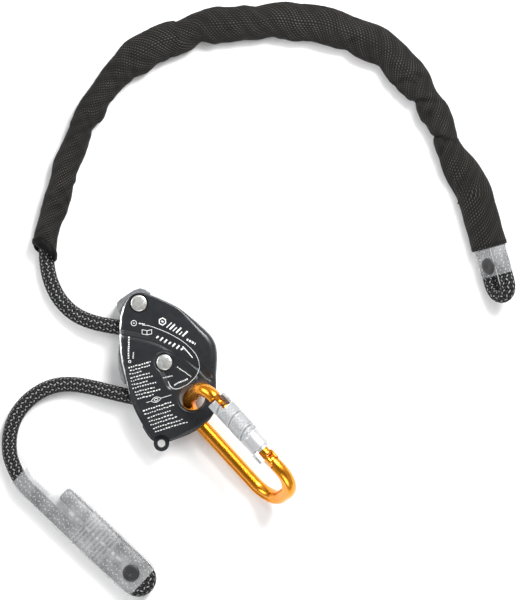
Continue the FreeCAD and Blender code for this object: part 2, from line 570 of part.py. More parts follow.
# sleeve carrier: slides on the gate, keyed by the guide pin
CR = SLEEVE_BORE - 0.08
carrier = ucyl(23.0, 62.9, GATE_V, CR).fuse(ucyl(62.8, 64.5, GATE_V, 7.9).common(
    box(60, 70, GATE_V - 3.4, GATE_V + 3.4, 1.0, 9.0)).fuse(ucyl(62.8, 64.5, GATE_V, CR)))
tongue = box(62.9, 71.6, GATE_V - 3.0, GATE_V + 3.0, 6.2, 8.6)
tongue = tongue.cut(box(66.0, 72.0, GATE_V - 0.8, GATE_V + 0.8, 6.0, 9.0))
carrier = carrier.fuse(tongue)
carrier = carrier.cut(ucyl(20, 70, GATE_V, GR + 0.08)).cut(ucyl(45.0, 66, GATE_V, 5.6))
carrier = carrier.cut(box(30 - SLIDE - 1.1, 30 + 1.1, GATE_V - 1.05, GATE_V + 1.05, -9, 9))
add("sleeve_carrier", carried(carrier.removeSplitter(), CAR))
ss = coil((49.9, GATE_V, 0), (1, 0, 0), 5.02, 0.35, 6, 9.2)
add("sleeve_spring", carried(ss, CAR))

# twist-lock sleeve: plain nose end with a slot, knurled middle with three slanted grooves, plain end
sleeve = ucyl(SLEEVE_U[0], SLEEVE_U[1], GATE_V, SLEEVE_R)
rims = [e for e in sleeve.Edges if isinstance(e.Curve, Part.Circle)]
sleeve = sleeve.makeChamfer(0.6, rims)
for gu in (21.5, 34.5, 47.5):
    g = Part.makeCylinder(SLEEVE_R + 3, 1.3, V(gu, GATE_V, 0), V(1, 0.42, 0)).cut(
        Part.makeCylinder(SLEEVE_R - 0.55, 30, V(gu - 12, GATE_V, 0), V(1, 0, 0)))
    sleeve = sleeve.cut(g)
sleeve = sleeve.cut(ucyl(10, 70, GATE_V, SLEEVE_BORE))
sleeve = sleeve.cut(box(10, 23.0, GATE_V, GATE_V + 12, -4.7, 4.7))
add("lock_sleeve", carried(sleeve, CAR))

# ---------------------------------------------------------------- write
bb = None
for name, shape in NODES.items():
    s = shape.copy()
    s.translate(V(SHIFT_X, SHIFT_Y, 0))
    n = len(s.Solids)
    ok = s.isValid()
    b = s.optimalBoundingBox(True, False)
    print("%-20s solids %2d valid %s vol %9.1f  x %7.1f..%7.1f y %7.1f..%7.1f z %6.2f..%6.2f" % (
        name, n, ok, s.Volume, b.XMin, b.XMax, b.YMin, b.YMax, b.ZMin, b.ZMax))
    s.exportStep("parts/%s.step" % name)
    if not (name.startswith("rope_u") or name.startswith("rope_l") or name.startswith("stop_")
            or name.startswith("eye_c") or name.startswith("eye_r") or name.startswith("eye_st")
            or name.startswith("protective")):
        bb = b if bb is None else bb
        bb.add(b)
print("own box", round(bb.XMin, 3), round(bb.XMax, 3), round(bb.YMin, 3), round(bb.YMax, 3), round(bb.ZMin, 3), round(bb.ZMax, 3))
print("centre", round((bb.XMin + bb.XMax) / 2, 3), round((bb.YMin + bb.YMax) / 2, 3))
print("rope total %.1f" % (LEN_IN + LEN_UP + LEN_LO))
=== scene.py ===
import bpy, bmesh, math
import numpy as np
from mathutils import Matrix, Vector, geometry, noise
from mathutils.kdtree import KDTree


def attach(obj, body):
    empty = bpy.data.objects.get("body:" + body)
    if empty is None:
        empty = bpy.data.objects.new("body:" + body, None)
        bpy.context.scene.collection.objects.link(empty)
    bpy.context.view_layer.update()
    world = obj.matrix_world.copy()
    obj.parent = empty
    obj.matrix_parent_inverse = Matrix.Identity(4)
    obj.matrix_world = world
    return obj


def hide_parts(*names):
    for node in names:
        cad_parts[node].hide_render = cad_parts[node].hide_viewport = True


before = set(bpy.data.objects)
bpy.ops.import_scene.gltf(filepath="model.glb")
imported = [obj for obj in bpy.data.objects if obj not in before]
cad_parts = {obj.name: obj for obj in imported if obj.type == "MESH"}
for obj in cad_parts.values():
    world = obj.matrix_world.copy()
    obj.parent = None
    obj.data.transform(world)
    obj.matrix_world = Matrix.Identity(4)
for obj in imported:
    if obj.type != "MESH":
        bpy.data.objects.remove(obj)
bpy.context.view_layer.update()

# device frame in mm -> row frame in metres
SHIFT = np.array([-31.34, 25.35, 0.0])


def row(p):
    return tuple((np.asarray(p, float) + SHIFT) * 0.001)


# ------------------------------------------------------------------ camera, lights, floor
cam_data = bpy.data.cameras.new("camera")
cam = bpy.data.objects.new("camera", cam_data)
bpy.context.scene.collection.objects.link(cam)
cam.location = (0.03931, 0.07185, 2.412)
cam.rotation_euler = (0, 0, 0)
cam_data.lens = 192
cam_data.sensor_width = 36
cam_data.clip_start, cam_data.clip_end = 0.05, 20
bpy.context.scene.camera = cam
bpy.context.scene.view_settings.view_transform = "Standard"
bpy.context.scene.view_settings.look = "None"

world = bpy.data.worlds.new("world")
world.use_nodes = True
wt = world.node_tree
w_co = wt.nodes.new("ShaderNodeTexCoord")
w_sep = wt.nodes.new("ShaderNodeSeparateXYZ")
w_ramp = wt.nodes.new("ShaderNodeValToRGB")
wt.links.new(w_co.outputs["Generated"], w_sep.inputs[0])
wt.links.new(w_sep.outputs["Z"], w_ramp.inputs["Fac"])
w_el = w_ramp.color_ramp.elements
for p_ in (0.12, 0.34, 0.62, 0.86):
    w_el.new(p_)
for e_, (p_, v_) in zip(w_el, ((0.0, 0.45), (0.12, 0.42), (0.34, 0.85), (0.62, 0.62), (0.86, 0.20), (1.0, 0.14))):
    e_.position = p_
    e_.color = (v_, v_, v_ * 1.01, 1)
wt.links.new(w_ramp.outputs["Color"], wt.nodes["Background"].inputs[0])
wt.nodes["Background"].inputs[1].default_value = 0.66
bpy.context.scene.world = world


def area(name, loc, target, size, power, size_y=None):
    d = bpy.data.lights.new(name, "AREA")
    d.energy = power
    d.size = size
    if size_y:
        d.shape = "RECTANGLE"
        d.size_y = size_y
    o = bpy.data.objects.new(name, d)
    bpy.context.scene.collection.objects.link(o)
    o.location = loc
    o.rotation_mode = "QUATERNION"
    o.rotation_quaternion = (Vector(target) - Vector(loc)).to_track_quat("-Z", "Y")
    return o


area("key", (0.62, 0.95, 1.15), (0.02, 0.05, 0), 0.55, 30)
area("fill", (-1.05, 0.30, 0.85), (0.02, 0.05, 0), 0.7, 9)
area("front", (0.1, -1.15, 0.9), (0.02, 0.05, 0), 0.7, 7)
area("strip", (0.30, 0.42, 1.15), (0.0, 0.0, 0.02), 0.22, 2.4, 0.22)

SMOOTH = math.radians(38)


# ------------------------------------------------------------------ materials
class Mat:
    def __init__(self, name):
        self.m = bpy.data.materials.new(name)
        self.m.use_nodes = True
        self.t = self.m.node_tree
        self.b = self.t.nodes["Principled BSDF"]
        self.co = self.t.nodes.new("ShaderNodeTexCoord")

    def set(self, **kw):
        for k, v in kw.items():
            self.b.inputs[k.replace("_", " ")].default_value = v
        return self

    def noise(self, scale, detail=3.0, rough=0.55, coord="Object", stretch=None):
        n = self.t.nodes.new("ShaderNodeTexNoise")
        n.inputs["Scale"].default_value = scale
        n.inputs["Detail"].default_value = detail
        n.inputs["Roughness"].default_value = rough
        src = self.co.outputs[coord]
        if stretch:
            mp = self.t.nodes.new("ShaderNodeMapping")
            mp.inputs["Scale"].default_value = stretch
            self.t.links.new(src, mp.inputs["Vector"])
            src = mp.outputs["Vector"]
        self.t.links.new(src, n.inputs["Vector"])
        return n.outputs["Fac"]

    def wave(self, scale, direction="X", coord="UV", kind="BANDS", distortion=0.0):
        n = self.t.nodes.new("ShaderNodeTexWave")
        n.wave_type = kind
        n.bands_direction = direction
        n.inputs["Scale"].default_value = scale
        n.inputs["Distortion"].default_value = distortion
        self.t.links.new(self.co.outputs[coord], n.inputs["Vector"])
        return n.outputs["Fac"]

    def attr(self, name):
        n = self.t.nodes.new("ShaderNodeAttribute")
        n.attribute_name = name
        return n.outputs["Fac"]

    def math(self, op, a, b=None, clamp=False):
        n = self.t.nodes.new("ShaderNodeMath")
        n.operation = op
        n.use_clamp = clamp
        for i, x in enumerate((a, b)):
            if x is None:
                continue
            if isinstance(x, (int, float)):
                n.inputs[i].default_value = x
            else:
                self.t.links.new(x, n.inputs[i])
        return n.outputs[0]

    def ramp(self, fac, stops):
        n = self.t.nodes.new("ShaderNodeValToRGB")
        e = n.color_ramp.elements
        while len(e) < len(stops):
            e.new(0.5)
        for el, (p, c) in zip(e, stops):
            el.position = p
            el.color = (*c, 1) if len(c) == 3 else c
        self.t.links.new(fac, n.inputs["Fac"])
        return n.outputs["Color"]

    def color(self, fac, stops):
        self.t.links.new(self.ramp(fac, stops), self.b.inputs["Base Color"])
        return self

    def roughness(self, fac, lo, hi):
        n = self.t.nodes.new("ShaderNodeMapRange")
        n.inputs["From Min"].default_value = 0.3
        n.inputs["From Max"].default_value = 0.7
        n.inputs["To Min"].default_value = lo
        n.inputs["To Max"].default_value = hi
        self.t.links.new(fac, n.inputs["Value"])
        self.t.links.new(n.outputs["Result"], self.b.inputs["Roughness"])
        return self

    def bump(self, layers, bevel=0.0):
        """layers: (height socket, distance in metres)"""
        prev = None
        if bevel:
            n = self.t.nodes.new("ShaderNodeBevel")
            n.samples = 6
            n.inputs["Radius"].default_value = bevel
            prev = n.outputs["Normal"]
        for h, d in layers:
            n = self.t.nodes.new("ShaderNodeBump")
            n.inputs["Strength"].default_value = 1.0
            n.inputs["Distance"].default_value = d
            self.t.links.new(h, n.inputs["Height"])
            if prev is not None:
                self.t.links.new(prev, n.inputs["Normal"])
            prev = n.outputs["Normal"]
        if prev is not None:
            self.t.links.new(prev, self.b.inputs["Normal"])
        return self


def metal(name, c_lo, c_hi, r_lo, r_hi, metallic=1.0, scale=260, bump=0.00002, brush=None, bevel=0.0003, coat=0.0):
    m = Mat(name)
    f = m.noise(scale, 4)
    big = m.noise(scale * 0.12, 2)
    mix = m.math("MULTIPLY_ADD", f, 0.6)
    mix.node.inputs[2].default_value = 0.0
    mix2 = m.math("ADD", mix, m.math("MULTIPLY", big, 0.4))
    m.color(mix2, [(0.3, c_lo), (0.7, c_hi)])
    m.roughness(m.noise(scale * 1.7, 3), r_lo, r_hi)
    layers = [(m.noise(scale * 9, 2), bump * 0.10)]
    if brush:
        layers.append((m.noise(scale * 3, 2, stretch=brush), bump * 0.3))
    m.bump(layers, bevel)
    m.set(Metallic=metallic)
    if coat:
        m.set(Coat_Weight=coat, Coat_Roughness=0.12)
    return m.m


M = {}
M["plate_black"] = metal("plate_black", (0.024, 0.026, 0.029), (0.034, 0.037, 0.041), 0.27, 0.33, 0.45, 150, 0.000006,
                         bevel=0.0, coat=0.12)
M["rivet_steel"] = metal("rivet_steel", (0.56, 0.56, 0.54), (0.80, 0.80, 0.78), 0.28, 0.42, 0.9, 420, 0.0003)
M["lever_grey"] = metal("lever_grey", (0.17, 0.18, 0.19), (0.30, 0.31, 0.32), 0.38, 0.55, 0.8, 300, 0.0004, bevel=0.0006)
M["cam_steel"] = metal("cam_steel", (0.33, 0.33, 0.34), (0.47, 0.47, 0.47), 0.30, 0.45, 1.0, 350, 0.00003)
M["bush_brass"] = metal("bush_brass", (0.52, 0.36, 0.13), (0.68, 0.49, 0.20), 0.25, 0.4, 1.0, 350, 0.00002)
M["spring_steel"] = metal("spring_steel", (0.38, 0.39, 0.40), (0.55, 0.56, 0.57), 0.22, 0.34, 1.0, 500, 0.00001, bevel=0)
M["pin_steel"] = metal("pin_steel", (0.47, 0.48, 0.49), (0.66, 0.67, 0.68), 0.22, 0.36, 1.0, 500, 0.00001)
M["sleeve_silver"] = metal("sleeve_silver", (0.56, 0.57, 0.58), (0.62, 0.63, 0.64), 0.34, 0.42, 0.65, 300, 0.000004, bevel=0.0)
M["anodised_orange"] = metal("anodised_orange", (0.84, 0.30, 0.012), (0.90, 0.34, 0.018), 0.22, 0.27, 0.92, 120, 0.000001,
                             bevel=0.0, coat=0.3)


def knurl_material():
    """painted shade: the cut grooves are coloured dark from the groove mask, the crowns bright"""
    m = Mat("knurl_silver")
    g = m.attr("groove")
    fine = m.noise(900, 2)
    v = m.math("ADD", m.math("MULTIPLY", g, 0.85), m.math("MULTIPLY", fine, 0.12), True)
    m.color(v, [(0.05, (0.60, 0.61, 0.62)), (0.45, (0.40, 0.41, 0.42)), (0.95, (0.17, 0.18, 0.19))])
    m.roughness(fine, 0.34, 0.44)
    m.set(Metallic=0.6)
    return m.m


def rope_material():
    m = Mat("rope_black")
    h = m.attr("height")
    painted_glint = m.attr("painted_glint")
    thread = m.noise(2600, 2)
    speck = m.noise(700, 2)
    # painted glints: the glint mask lifts the near-black base colour towards light grey
    v = m.math("MULTIPLY", painted_glint, m.math("ADD", m.math("MULTIPLY", speck, 1.1), 0.45), True)
    v = m.math("ADD", v, m.math("MULTIPLY", thread, 0.06), True)
    m.color(v, [(0.05, (0.0022, 0.0022, 0.0026)), (0.22, (0.009, 0.009, 0.010)), (0.46, (0.070, 0.070, 0.072)), (0.90, (0.34, 0.34, 0.34))])
    m.roughness(speck, 0.48, 0.68)
    m.bump([(thread, 0.00006), (h, 0.0002)])
    m.set(Specular_IOR_Level=0.12)
    return m.m


def weave_material():
    m = Mat("sleeve_fabric")
    # UV is in mm: across and along the tube
    a = m.wave(0.27, "X")
    b = m.wave(0.245, "DIAGONAL")
    w = m.math("MULTIPLY", a, b)
    d = m.wave(0.052, "DIAGONAL", distortion=1.5)
    patch = m.noise(48, 3)
    fuzz = m.noise(1300, 2)
    # painted highlight: the colour lightens on the crowns of the weave (the same height that drives the bump), varied
    # by the patch noise
    v = m.math("MULTIPLY", w, m.math("ADD", m.math("MULTIPLY", patch, 1.3), m.math("MULTIPLY", d, 0.25)), True)
    v = m.math("ADD", v, m.math("MULTIPLY", fuzz, 0.12), True)
    m.color(v, [(0.08, (0.0100, 0.0092, 0.0085)), (0.40, (0.0200, 0.0186, 0.0172)), (1.0, (0.092, 0.085, 0.078))])
    m.roughness(patch, 0.60, 0.78)
    m.bump([(w, 0.00040), (fuzz, 0.00004)])
    m.set(Specular_IOR_Level=0.10)
    return m.m


def cover_material():
    m = Mat("cover_clear")
    cloud = m.noise(60, 3)
    streak_painted_sheen = m.noise(150, 3, stretch=(1.0, 0.35, 1.0))
    # colour: cloudy tone of the film, with painted specular streaks from the stretched noise
    v = m.math("ADD", m.math("MULTIPLY", cloud, 0.65), m.math("MULTIPLY", streak_painted_sheen, 0.35))
    m.color(v, [(0.30, (0.66, 0.68, 0.69)), (0.72, (0.86, 0.87, 0.88))])
    m.roughness(cloud, 0.16, 0.30)
    al = m.t.nodes.new("ShaderNodeMapRange")
    al.inputs["From Min"].default_value = 0.35
    al.inputs["From Max"].default_value = 0.65
    al.inputs["To Min"].default_value = 0.10
    al.inputs["To Max"].default_value = 0.22
    m.t.links.new(v, al.inputs["Value"])
    m.t.links.new(al.outputs["Result"], m.b.inputs["Alpha"])
    m.bump([(cloud, 0.00012), (streak_painted_sheen, 0.00003)])
    m.set(Specular_IOR_Level=0.6)
    return m.m


def plain(name, c_lo, c_hi, r_lo, r_hi, scale=900, bump=0.00003, **kw):
    m = Mat(name)
    f = m.noise(scale, 3)
    m.color(f, [(0.3, c_lo), (0.7, c_hi)])
    m.roughness(m.noise(scale * 0.4, 2), r_lo, r_hi)
    m.bump([(m.noise(scale * 2.5, 2), bump)])
    m.set(**kw)
    return m.m


M["knurl_silver"] = knurl_material()
M["rope_black"] = rope_material()
M["sleeve_fabric"] = weave_material()
M["cover_clear"] = cover_material()
M["rivet_black"] = plain("rivet_black", (0.012, 0.012, 0.013), (0.028, 0.028, 0.03), 0.38, 0.55)
M["thread_grey"] = plain("thread_grey", (0.10, 0.10, 0.105), (0.24, 0.24, 0.25), 0.6, 0.8)
M["print_white"] = plain("print_white", (0.62, 0.63, 0.63), (0.86, 0.86, 0.85), 0.45, 0.6, 1500, 0.00001)


# ------------------------------------------------------------------ mesh tools
def make(name, verts, faces, mat, body="body", replaces=(), uv=None, attrs=None, smooth=SMOOTH, fix=True):
    V = (np.asarray(verts, float) + SHIFT) * 0.001
    me = bpy.data.meshes.new(name)
    me.from_pydata(V.tolist(), [], faces)
    if uv is not None:
        layer = me.uv_layers.new(name="UVMap")
        flat = [c for f in uv for c in f]
        layer.data.foreach_set("uv", np.asarray(flat, np.float32).ravel())
    for k, vals in (attrs or {}).items():
        a = me.attributes.new(k, "FLOAT", "POINT")
        a.data.foreach_set("value", np.asarray(vals, np.float32))
    me.validate()
    if fix:
        bm = bmesh.new()
        bm.from_mesh(me)
        bmesh.ops.recalc_face_normals(bm, faces=bm.faces)
        bm.to_mesh(me)
        bm.free()
    me.shade_smooth()
    me.set_sharp_from_angle(angle=smooth)
    ob = bpy.data.objects.new(name, me)
    bpy.context.scene.collection.objects.link(ob)
    me.materials.append(M[mat])
    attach(ob, body)
    if replaces:
        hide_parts(*replaces)
    return ob


def loft(rings, closed=True, caps=True, loop=False):
    """rings: (n, m, 3). Returns verts and faces; caps are fans on the ring's own centre."""
    R = np.asarray(rings, float)
    n, m = R.shape[:2]
    verts = R.reshape(-1, 3).tolist()
    faces = []
    cols = m if closed else m - 1
    for i in range(n if loop else n - 1):
        a, b = i * m, ((i + 1) % n) * m
        for j in range(cols):
            k = (j + 1) % m
            faces.append((a + j, a + k, b + k, b + j))
    if caps and not loop:
        for i, flip in ((0, True), (n - 1, False)):
            c = len(verts)
            verts.append(R[i].mean(axis=0).tolist())
            for j in range(cols):
                k = (j + 1) % m
                faces.append((c, i * m + k, i * m + j) if flip else (c, i * m + j, i * m + k))
    return verts, faces


def loft_uv(faces, n, m, su, sv, loop=False):
    """per-corner UV of a lofted tube: su around per column, sv list along per ring"""
    out = []
    for f in faces:
        js = [v % m if v < n * m else None for v in f]
        iss = [v // m if v < n * m else None for v in f]
        wrap = (0 in js) and (m - 1 in js)
        c = []
        for i, j in zip(iss, js):
            if j is None:
                c.append((0.0, 0.0))
                continue
            jj = m if (wrap and j == 0) else j
            c.append((jj * su, sv[i]))
        out.append(c)
    return out


def frames(line):
    """tangents and rotation-minimising normals along a line, starting from up"""
    P = np.asarray(line, float)
    T = np.gradient(P, axis=0)
    T /= np.linalg.norm(T, axis=1)[:, None]
    N = np.zeros_like(P)
    up = np.array([0, 0, 1.0])
    n = up - T[0] * up.dot(T[0])
    n /= np.linalg.norm(n)
    N[0] = n
    for i in range(1, len(P)):
        n = N[i - 1] - T[i] * N[i - 1].dot(T[i])
        N[i] = n / np.linalg.norm(n)
    return T, N, np.cross(T, N)


def resample(line, s):
    P = np.asarray(line, float)
    L = np.concatenate([[0], np.cumsum(np.linalg.norm(np.diff(P, axis=0), axis=1))])
    return np.stack([np.interp(s, L, P[:, k]) for k in range(3)], axis=1), L[-1]


def lathe(profile, m=96):
    """profile: (radius, height) pairs round the local z axis"""
    a = np.linspace(0, 2 * np.pi, m, endpoint=False)
    return [[(r * math.cos(t), r * math.sin(t), z) for t in a] for r, z in profile]


def fillet_profile(points, r=0.25, steps=4):
    """rounds the corners of an open (radius, height) profile"""
    out = [points[0]]
    for i in range(1, len(points) - 1):
        a, b, c = (np.array(points[k], float) for k in (i - 1, i, i + 1))
        u, w = a - b, c - b
        lu, lw = np.linalg.norm(u), np.linalg.norm(w)
        t = min(r, lu * 0.45, lw * 0.45)
        p, q = b + u / lu * t, b + w / lw * t
        for k in range(steps + 1):
            f = k / steps
            out.append(tuple((1 - f) ** 2 * p + 2 * f * (1 - f) * b + f * f * q))
    out.append(points[-1])
    return out


def local(origin, x, y):
    X = np.array(x, float); X /= np.linalg.norm(X)
    Y = np.array(y, float); Y -= X * X.dot(Y); Y /= np.linalg.norm(Y)
    return np.array(origin, float), np.stack([X, Y, np.cross(X, Y)])


def carried(frame_, pts):
    o, A = frame_
    return np.asarray(pts, float) @ A + o


# ------------------------------------------------------------------ ropes
UPPER = [(-34.1, 25.95, 12.25), (-43.98, 27.51, 12.25), (-54.0, 29.7, 10.10), (-64.4, 33.6, 7.60), (-73.4, 39.9, 6.30),
         (-81.2, 49.5, 6.15), (-86.3, 60.8, 6.15), (-88.8, 72.4, 6.30), (-89.4, 84.4, 6.90), (-88.1, 96.8, 7.40),
         (-85.1, 109.1, 7.60), (-81.2, 121.9, 7.60), (-77.4, 134.6, 7.60), (-73.4, 147.8, 7.60), (-68.1, 162.0, 7.60),
         (-61.2, 178.1, 7.60), (-51.6, 194.5, 7.60), (-38.9, 211.2, 7.60), (-20.9, 227.5, 7.60), (2.0, 241.8, 7.60),
         (26.4, 250.2, 7.60), (49.6, 253.4, 7.60), (70.6, 255.1, 7.60), (90.9, 255.6, 7.60), (111.9, 253.8, 7.60),
         (132.1, 248.9, 7.60), (152.0, 241.0, 7.60), (169.6, 230.2, 7.60), (183.9, 216.5, 7.60),
         (195.4, 201.0, 7.70), (204.6, 184.8, 7.90), (212.4, 166.9, 8.20), (219.6, 147.0, 8.55),
         (227.57, 122.0, 8.7), (233.09, 102.77, 8.85), (238.36, 83.48, 8.7), (243.18, 66.66, 8.81),
         (247.27, 51.95, 8.77), (253.77, 48.83, 15.0), (257.69, 54.87, 21.23), (253.57, 70.09, 21.38),
         (249.09, 85.45, 21.19), (244.9, 100.89, 21.34)]
LOWER = [(-28.35, -25.45, 12.25), (-38.095, -23.203, 12.25), (-48.4, -20.6, 10.0), (-58.6, -18.3, 7.6),
         (-68.0, -16.9, 6.3), (-77.9, -16.8, 6.1), (-87.2, -19.0, 6.1), (-95.9, -23.4, 6.1), (-103.7, -29.5, 6.1),
         (-110.1, -37.1, 6.1), (-114.6, -46.0, 6.15), (-116.9, -55.7, 6.4), (-117.2, -65.5, 6.9),
         (-115.4, -75.4, 7.7), (-107.16, -91.62, 8.5), (-93.99, -103.9, 8.5), (-76.75, -120.59, 8.5),
         (-59.15, -136.91, 8.5), (-44.81, -150.85, 8.5), (-33.06, -161.71, 8.5), (-22.52, -171.77, 8.5),
         (-13.39, -169.05, 8.5), (-11.17, -159.79, 8.5), (-22.33, -148.94, 8.5), (-34.88, -137.46, 8.5),
         (-49.22, -123.52, 8.5), (-63.88, -109.91, 8.5), (-76.08, -98.07, 8.5)]
STOP_M = local((-98.55, -88.35, 8.5), (0.726, -0.688, 0), (0.688, 0.726, 0))
TILT = math.radians(49)
_d = np.array([0.27, -0.963, 0]); _d /= np.linalg.norm(_d)
_s = np.array([0.963, 0.27, 0]); _s /= np.linalg.norm(_s)
EYE_M = local((232.3, 125.4, 15.0), _d, (_s[0] * math.cos(TILT), _s[1] * math.cos(TILT), math.sin(TILT)))


def nurbs_line(name, pts):
    """points of the route's own NURBS spline, in device mm"""
    cu = bpy.data.curves.new(name, "CURVE")
    cu.dimensions = "3D"
    cu.resolution_u = 24
    sp = cu.splines.new("NURBS")
    sp.points.add(len(pts) - 1)
    for p, q in zip(sp.points, pts):
        p.co = (*row(q), 1.0)
    sp.order_u = 3
    sp.use_endpoint_u = True
    sp.resolution_u = 24
    ob = bpy.data.objects.new(name, cu)
    me = bpy.data.meshes.new_from_object(ob)
    out = [tuple(v.co) for v in me.vertices]
    bpy.data.meshes.remove(me)
    bpy.data.objects.remove(ob)
    bpy.data.curves.remove(cu)
    keep_ = [out[0]]
    for q in out[1:]:
        if (Vector(q) - Vector(keep_[-1])).length > 0.00015:
            keep_.append(q)
    return keep_


ROPE_R = 5.75


def braid(u, s, n=16, p=2.5):
    """height of the braid, and painted glints: a brighter colour on alternate floats, strongest on their crowns"""
    a, b = n * u + s / p, n * u - s / p
    i, j = np.floor(a), np.floor(b)
    fa, fb = a - i, b - j
    k = np.mod(i - j, 4)
    top = k < 2
    ta = np.clip((k + 1 - fb) / 2, 0, 1)
    tb = np.clip((k - 2 + fa) / 2, 0, 1)
    ha = (1 - (2 * fa - 1) ** 2) * np.sqrt(np.sin(np.pi * ta))
    hb = (1 - (2 * fb - 1) ** 2) * np.sqrt(np.sin(np.pi * tb))
    h = np.where(top, ha, hb)
    # painted glint: alternate floats get a lighter colour, raised to the crown height
    glint_strength = np.where(top, np.where(np.mod(i, 2) < 1, 1.0, 0.42), np.where(np.mod(j, 2) < 1, 0.42, 1.0))
    return h, glint_strength * np.clip(h, 0, 1) ** 1.8


def rope(name, line_m, fine, body="body", replaces=(), ends=(True, True), around=80, step=0.5):
    """braided rope along a line in row metres; fine: spans in mm of length with full detail"""
    P = np.asarray(line_m, float) * 1000 - SHIFT
    _, total = resample(P, [0])
    st, s = [0.0], 0.0
    while s < total - 0.05:
        s = min(total, s + (step if any(a <= s <= b for a, b in fine) else 4.0))
        st.append(s)
    st = np.array(st)
    C, _ = resample(P, st)
    T, N, B = frames(C)
    u = np.arange(around) / around
    U, S = np.meshgrid(u, st)
    h, painted_glint = braid(U, S)
    r = ROPE_R - 0.5 + 0.5 * h
    # rounded-off ends
    taper = np.ones_like(S)
    for e, dist in ((ends[0], S), (ends[1], total - S)):
        if e:
            q = np.clip(1 - dist / 1.6, 0, 1)
            taper = np.minimum(taper, np.sqrt(np.clip(1 - q * q * 0.75, 0, 1)))
    r = r * taper
    ang = 2 * np.pi * U
    rings = (C[:, None, :] + N[:, None, :] * (r * np.cos(ang))[:, :, None] + B[:, None, :] * (r * np.sin(ang))[:, :, None])
    v, f = loft(rings)
    v = np.array(v)
    v[:, 2] = np.maximum(v[:, 2], 0.02)
    uvs = loft_uv(f, len(st), around, 2 * math.pi * ROPE_R / around, st.tolist())
    attrs = {"height": np.concatenate([h.ravel(), [0, 0]]), "painted_glint": np.concatenate([painted_glint.ravel(), [0, 0]])}
    return make(name, v, f, "rope_black", body, replaces, uv=uvs, attrs=attrs, smooth=math.radians(80), fix=False)


up_line = nurbs_line("upper_route", UPPER)
lo_line = nurbs_line("lower_route", LOWER)
in_line = nurbs_line("inner_route", [(-34.1, 25.95, 12.25), (-24.0, 24.4, 12.25), (-12.0, 22.5, 12.25), (-4.5, 21.3, 12.25),
                                     (4.0, 17.6, 12.25), (11.5, 13.0, 12.25), (15.8, 6.8, 12.25), (16.9, 0.0, 12.25),
                                     (15.8, -6.8, 12.25), (11.5, -13.0, 12.25), (3.0, -18.0, 12.25), (-6.0, -23.3, 12.25),
                                     (-13.5, -27.4, 12.25), (-19.5, -27.5, 12.25), (-28.35, -25.45, 12.25)])
_up_len = sum((Vector(a) - Vector(b)).length for a, b in zip(up_line, up_line[1:])) * 1000
_lo_len = sum((Vector(a) - Vector(b)).length for a, b in zip(lo_line, lo_line[1:])) * 1000
print("spline lengths", round(_up_len, 1), round(_lo_len, 1))
ar = 80
st_ = 0.5
rope_upper = rope("rope_upper_braid", up_line, [(0, 112), (_up_len - 105, _up_len)], replaces=["rope_upper"],
                  ends=(False, True), around=ar, step=st_)
rope_lower = rope("rope_lower_braid", lo_line, [(0, _lo_len)], replaces=["rope_lower"], ends=(False, True), around=ar, step=st_)
rope_inner = rope("rope_inner_braid", in_line, [(0, 200)], replaces=["rope_in_body"], ends=(False, False), around=ar,
                  step=st_ * 1.4)

# ------------------------------------------------------------------ woven protective sleeve
# stations along the sleeve: x, y on the rope, then half widths to the right and left of travel
WIDTHS = [
    (-89.4, 83.6, 8.0, 9.9), (-88.1, 95.2, 8.0, 10.5), (-86.0, 105.4, 8.6, 9.5), (-83.1, 115.6, 9.8, 9.5),
    (-80.0, 125.6, 10.2, 9.6), (-77.1, 135.7, 8.8, 9.5), (-74.0, 145.6, 9.1, 10.0), (-70.4, 155.6, 9.5, 10.0),
    (-66.6, 165.4, 8.7, 9.7), (-62.4, 175.0, 7.3, 9.5), (-57.6, 184.3, 8.8, 10.9), (-54.9, 188.9, 10.8, 11.3),
    (-49.1, 197.5, 8.4, 10.6), (-42.8, 206.0, 8.9, 10.7), (-35.8, 213.8, 9.3, 12.6), (-28.1, 221.0, 9.9, 13.5),
    (-20.0, 227.6, 12.4, 15.2), (-11.3, 233.5, 11.4, 15.0), (-2.2, 238.8, 12.7, 14.9), (7.2, 243.3, 13.4, 12.7),
    (12.1, 245.2, 13.0, 11.3), (22.1, 248.5, 10.0, 12.8), (27.2, 249.8, 9.6, 13.8), (37.5, 251.7, 12.8, 14.7),
    (47.9, 253.0, 13.2, 13.5), (58.3, 254.1, 12.7, 13.0), (68.9, 254.8, 13.2, 12.4), (79.4, 255.3, 11.6, 14.5),
    (89.9, 255.4, 13.2, 15.7), (100.4, 254.8, 14.1, 14.6), (110.8, 253.6, 13.3, 15.1), (121.0, 251.6, 13.4, 15.1),
    (131.2, 248.8, 13.9, 13.8), (141.1, 245.3, 12.9, 14.0), (150.8, 241.2, 14.1, 14.8), (160.0, 236.2, 13.3, 15.2),
    (168.7, 230.3, 12.0, 13.8), (176.6, 223.5, 14.4, 13.1), (183.8, 215.9, 14.5, 13.4), (190.4, 207.7, 13.0, 11.7),
    (196.4, 199.0, 9.7, 9.2), (201.6, 190.0, 11.8, 10.6), (206.3, 180.6, 10.6, 10.7), (210.6, 171.0, 8.8, 8.8),
    (212.6, 166.1, 11.1, 8.1), (216.2, 156.3, 10.7, 8.9), (220.6, 146.4, 10.6, 11.4)]


def smooth01(x):
    x = np.clip(x, 0, 1)
    return x * x * (3 - 2 * x)


def catmull(vals, t):
    """smooth value through stations"""
    v = np.asarray(vals, float)
    i = np.clip(np.floor(t).astype(int), 0, len(v) - 2)
    f = (t - i)
    if v.ndim > 1:
        f = f[:, None]
    p0, p1, p2, p3 = v[np.clip(i - 1, 0, None)], v[i], v[i + 1], v[np.clip(i + 2, None, len(v) - 1)]
    return 0.5 * ((2 * p1) + (-p0 + p2) * f + (2 * p0 - 5 * p1 + 4 * p2 - p3) * f ** 2 + (-p0 + 3 * p1 - 3 * p2 + p3) * f ** 3)


def nz(p, scale, seed):
    return noise.noise(Vector((p[0] * scale + seed * 7.3, p[1] * scale - seed * 3.1, p[2] * scale + seed * 1.7)))


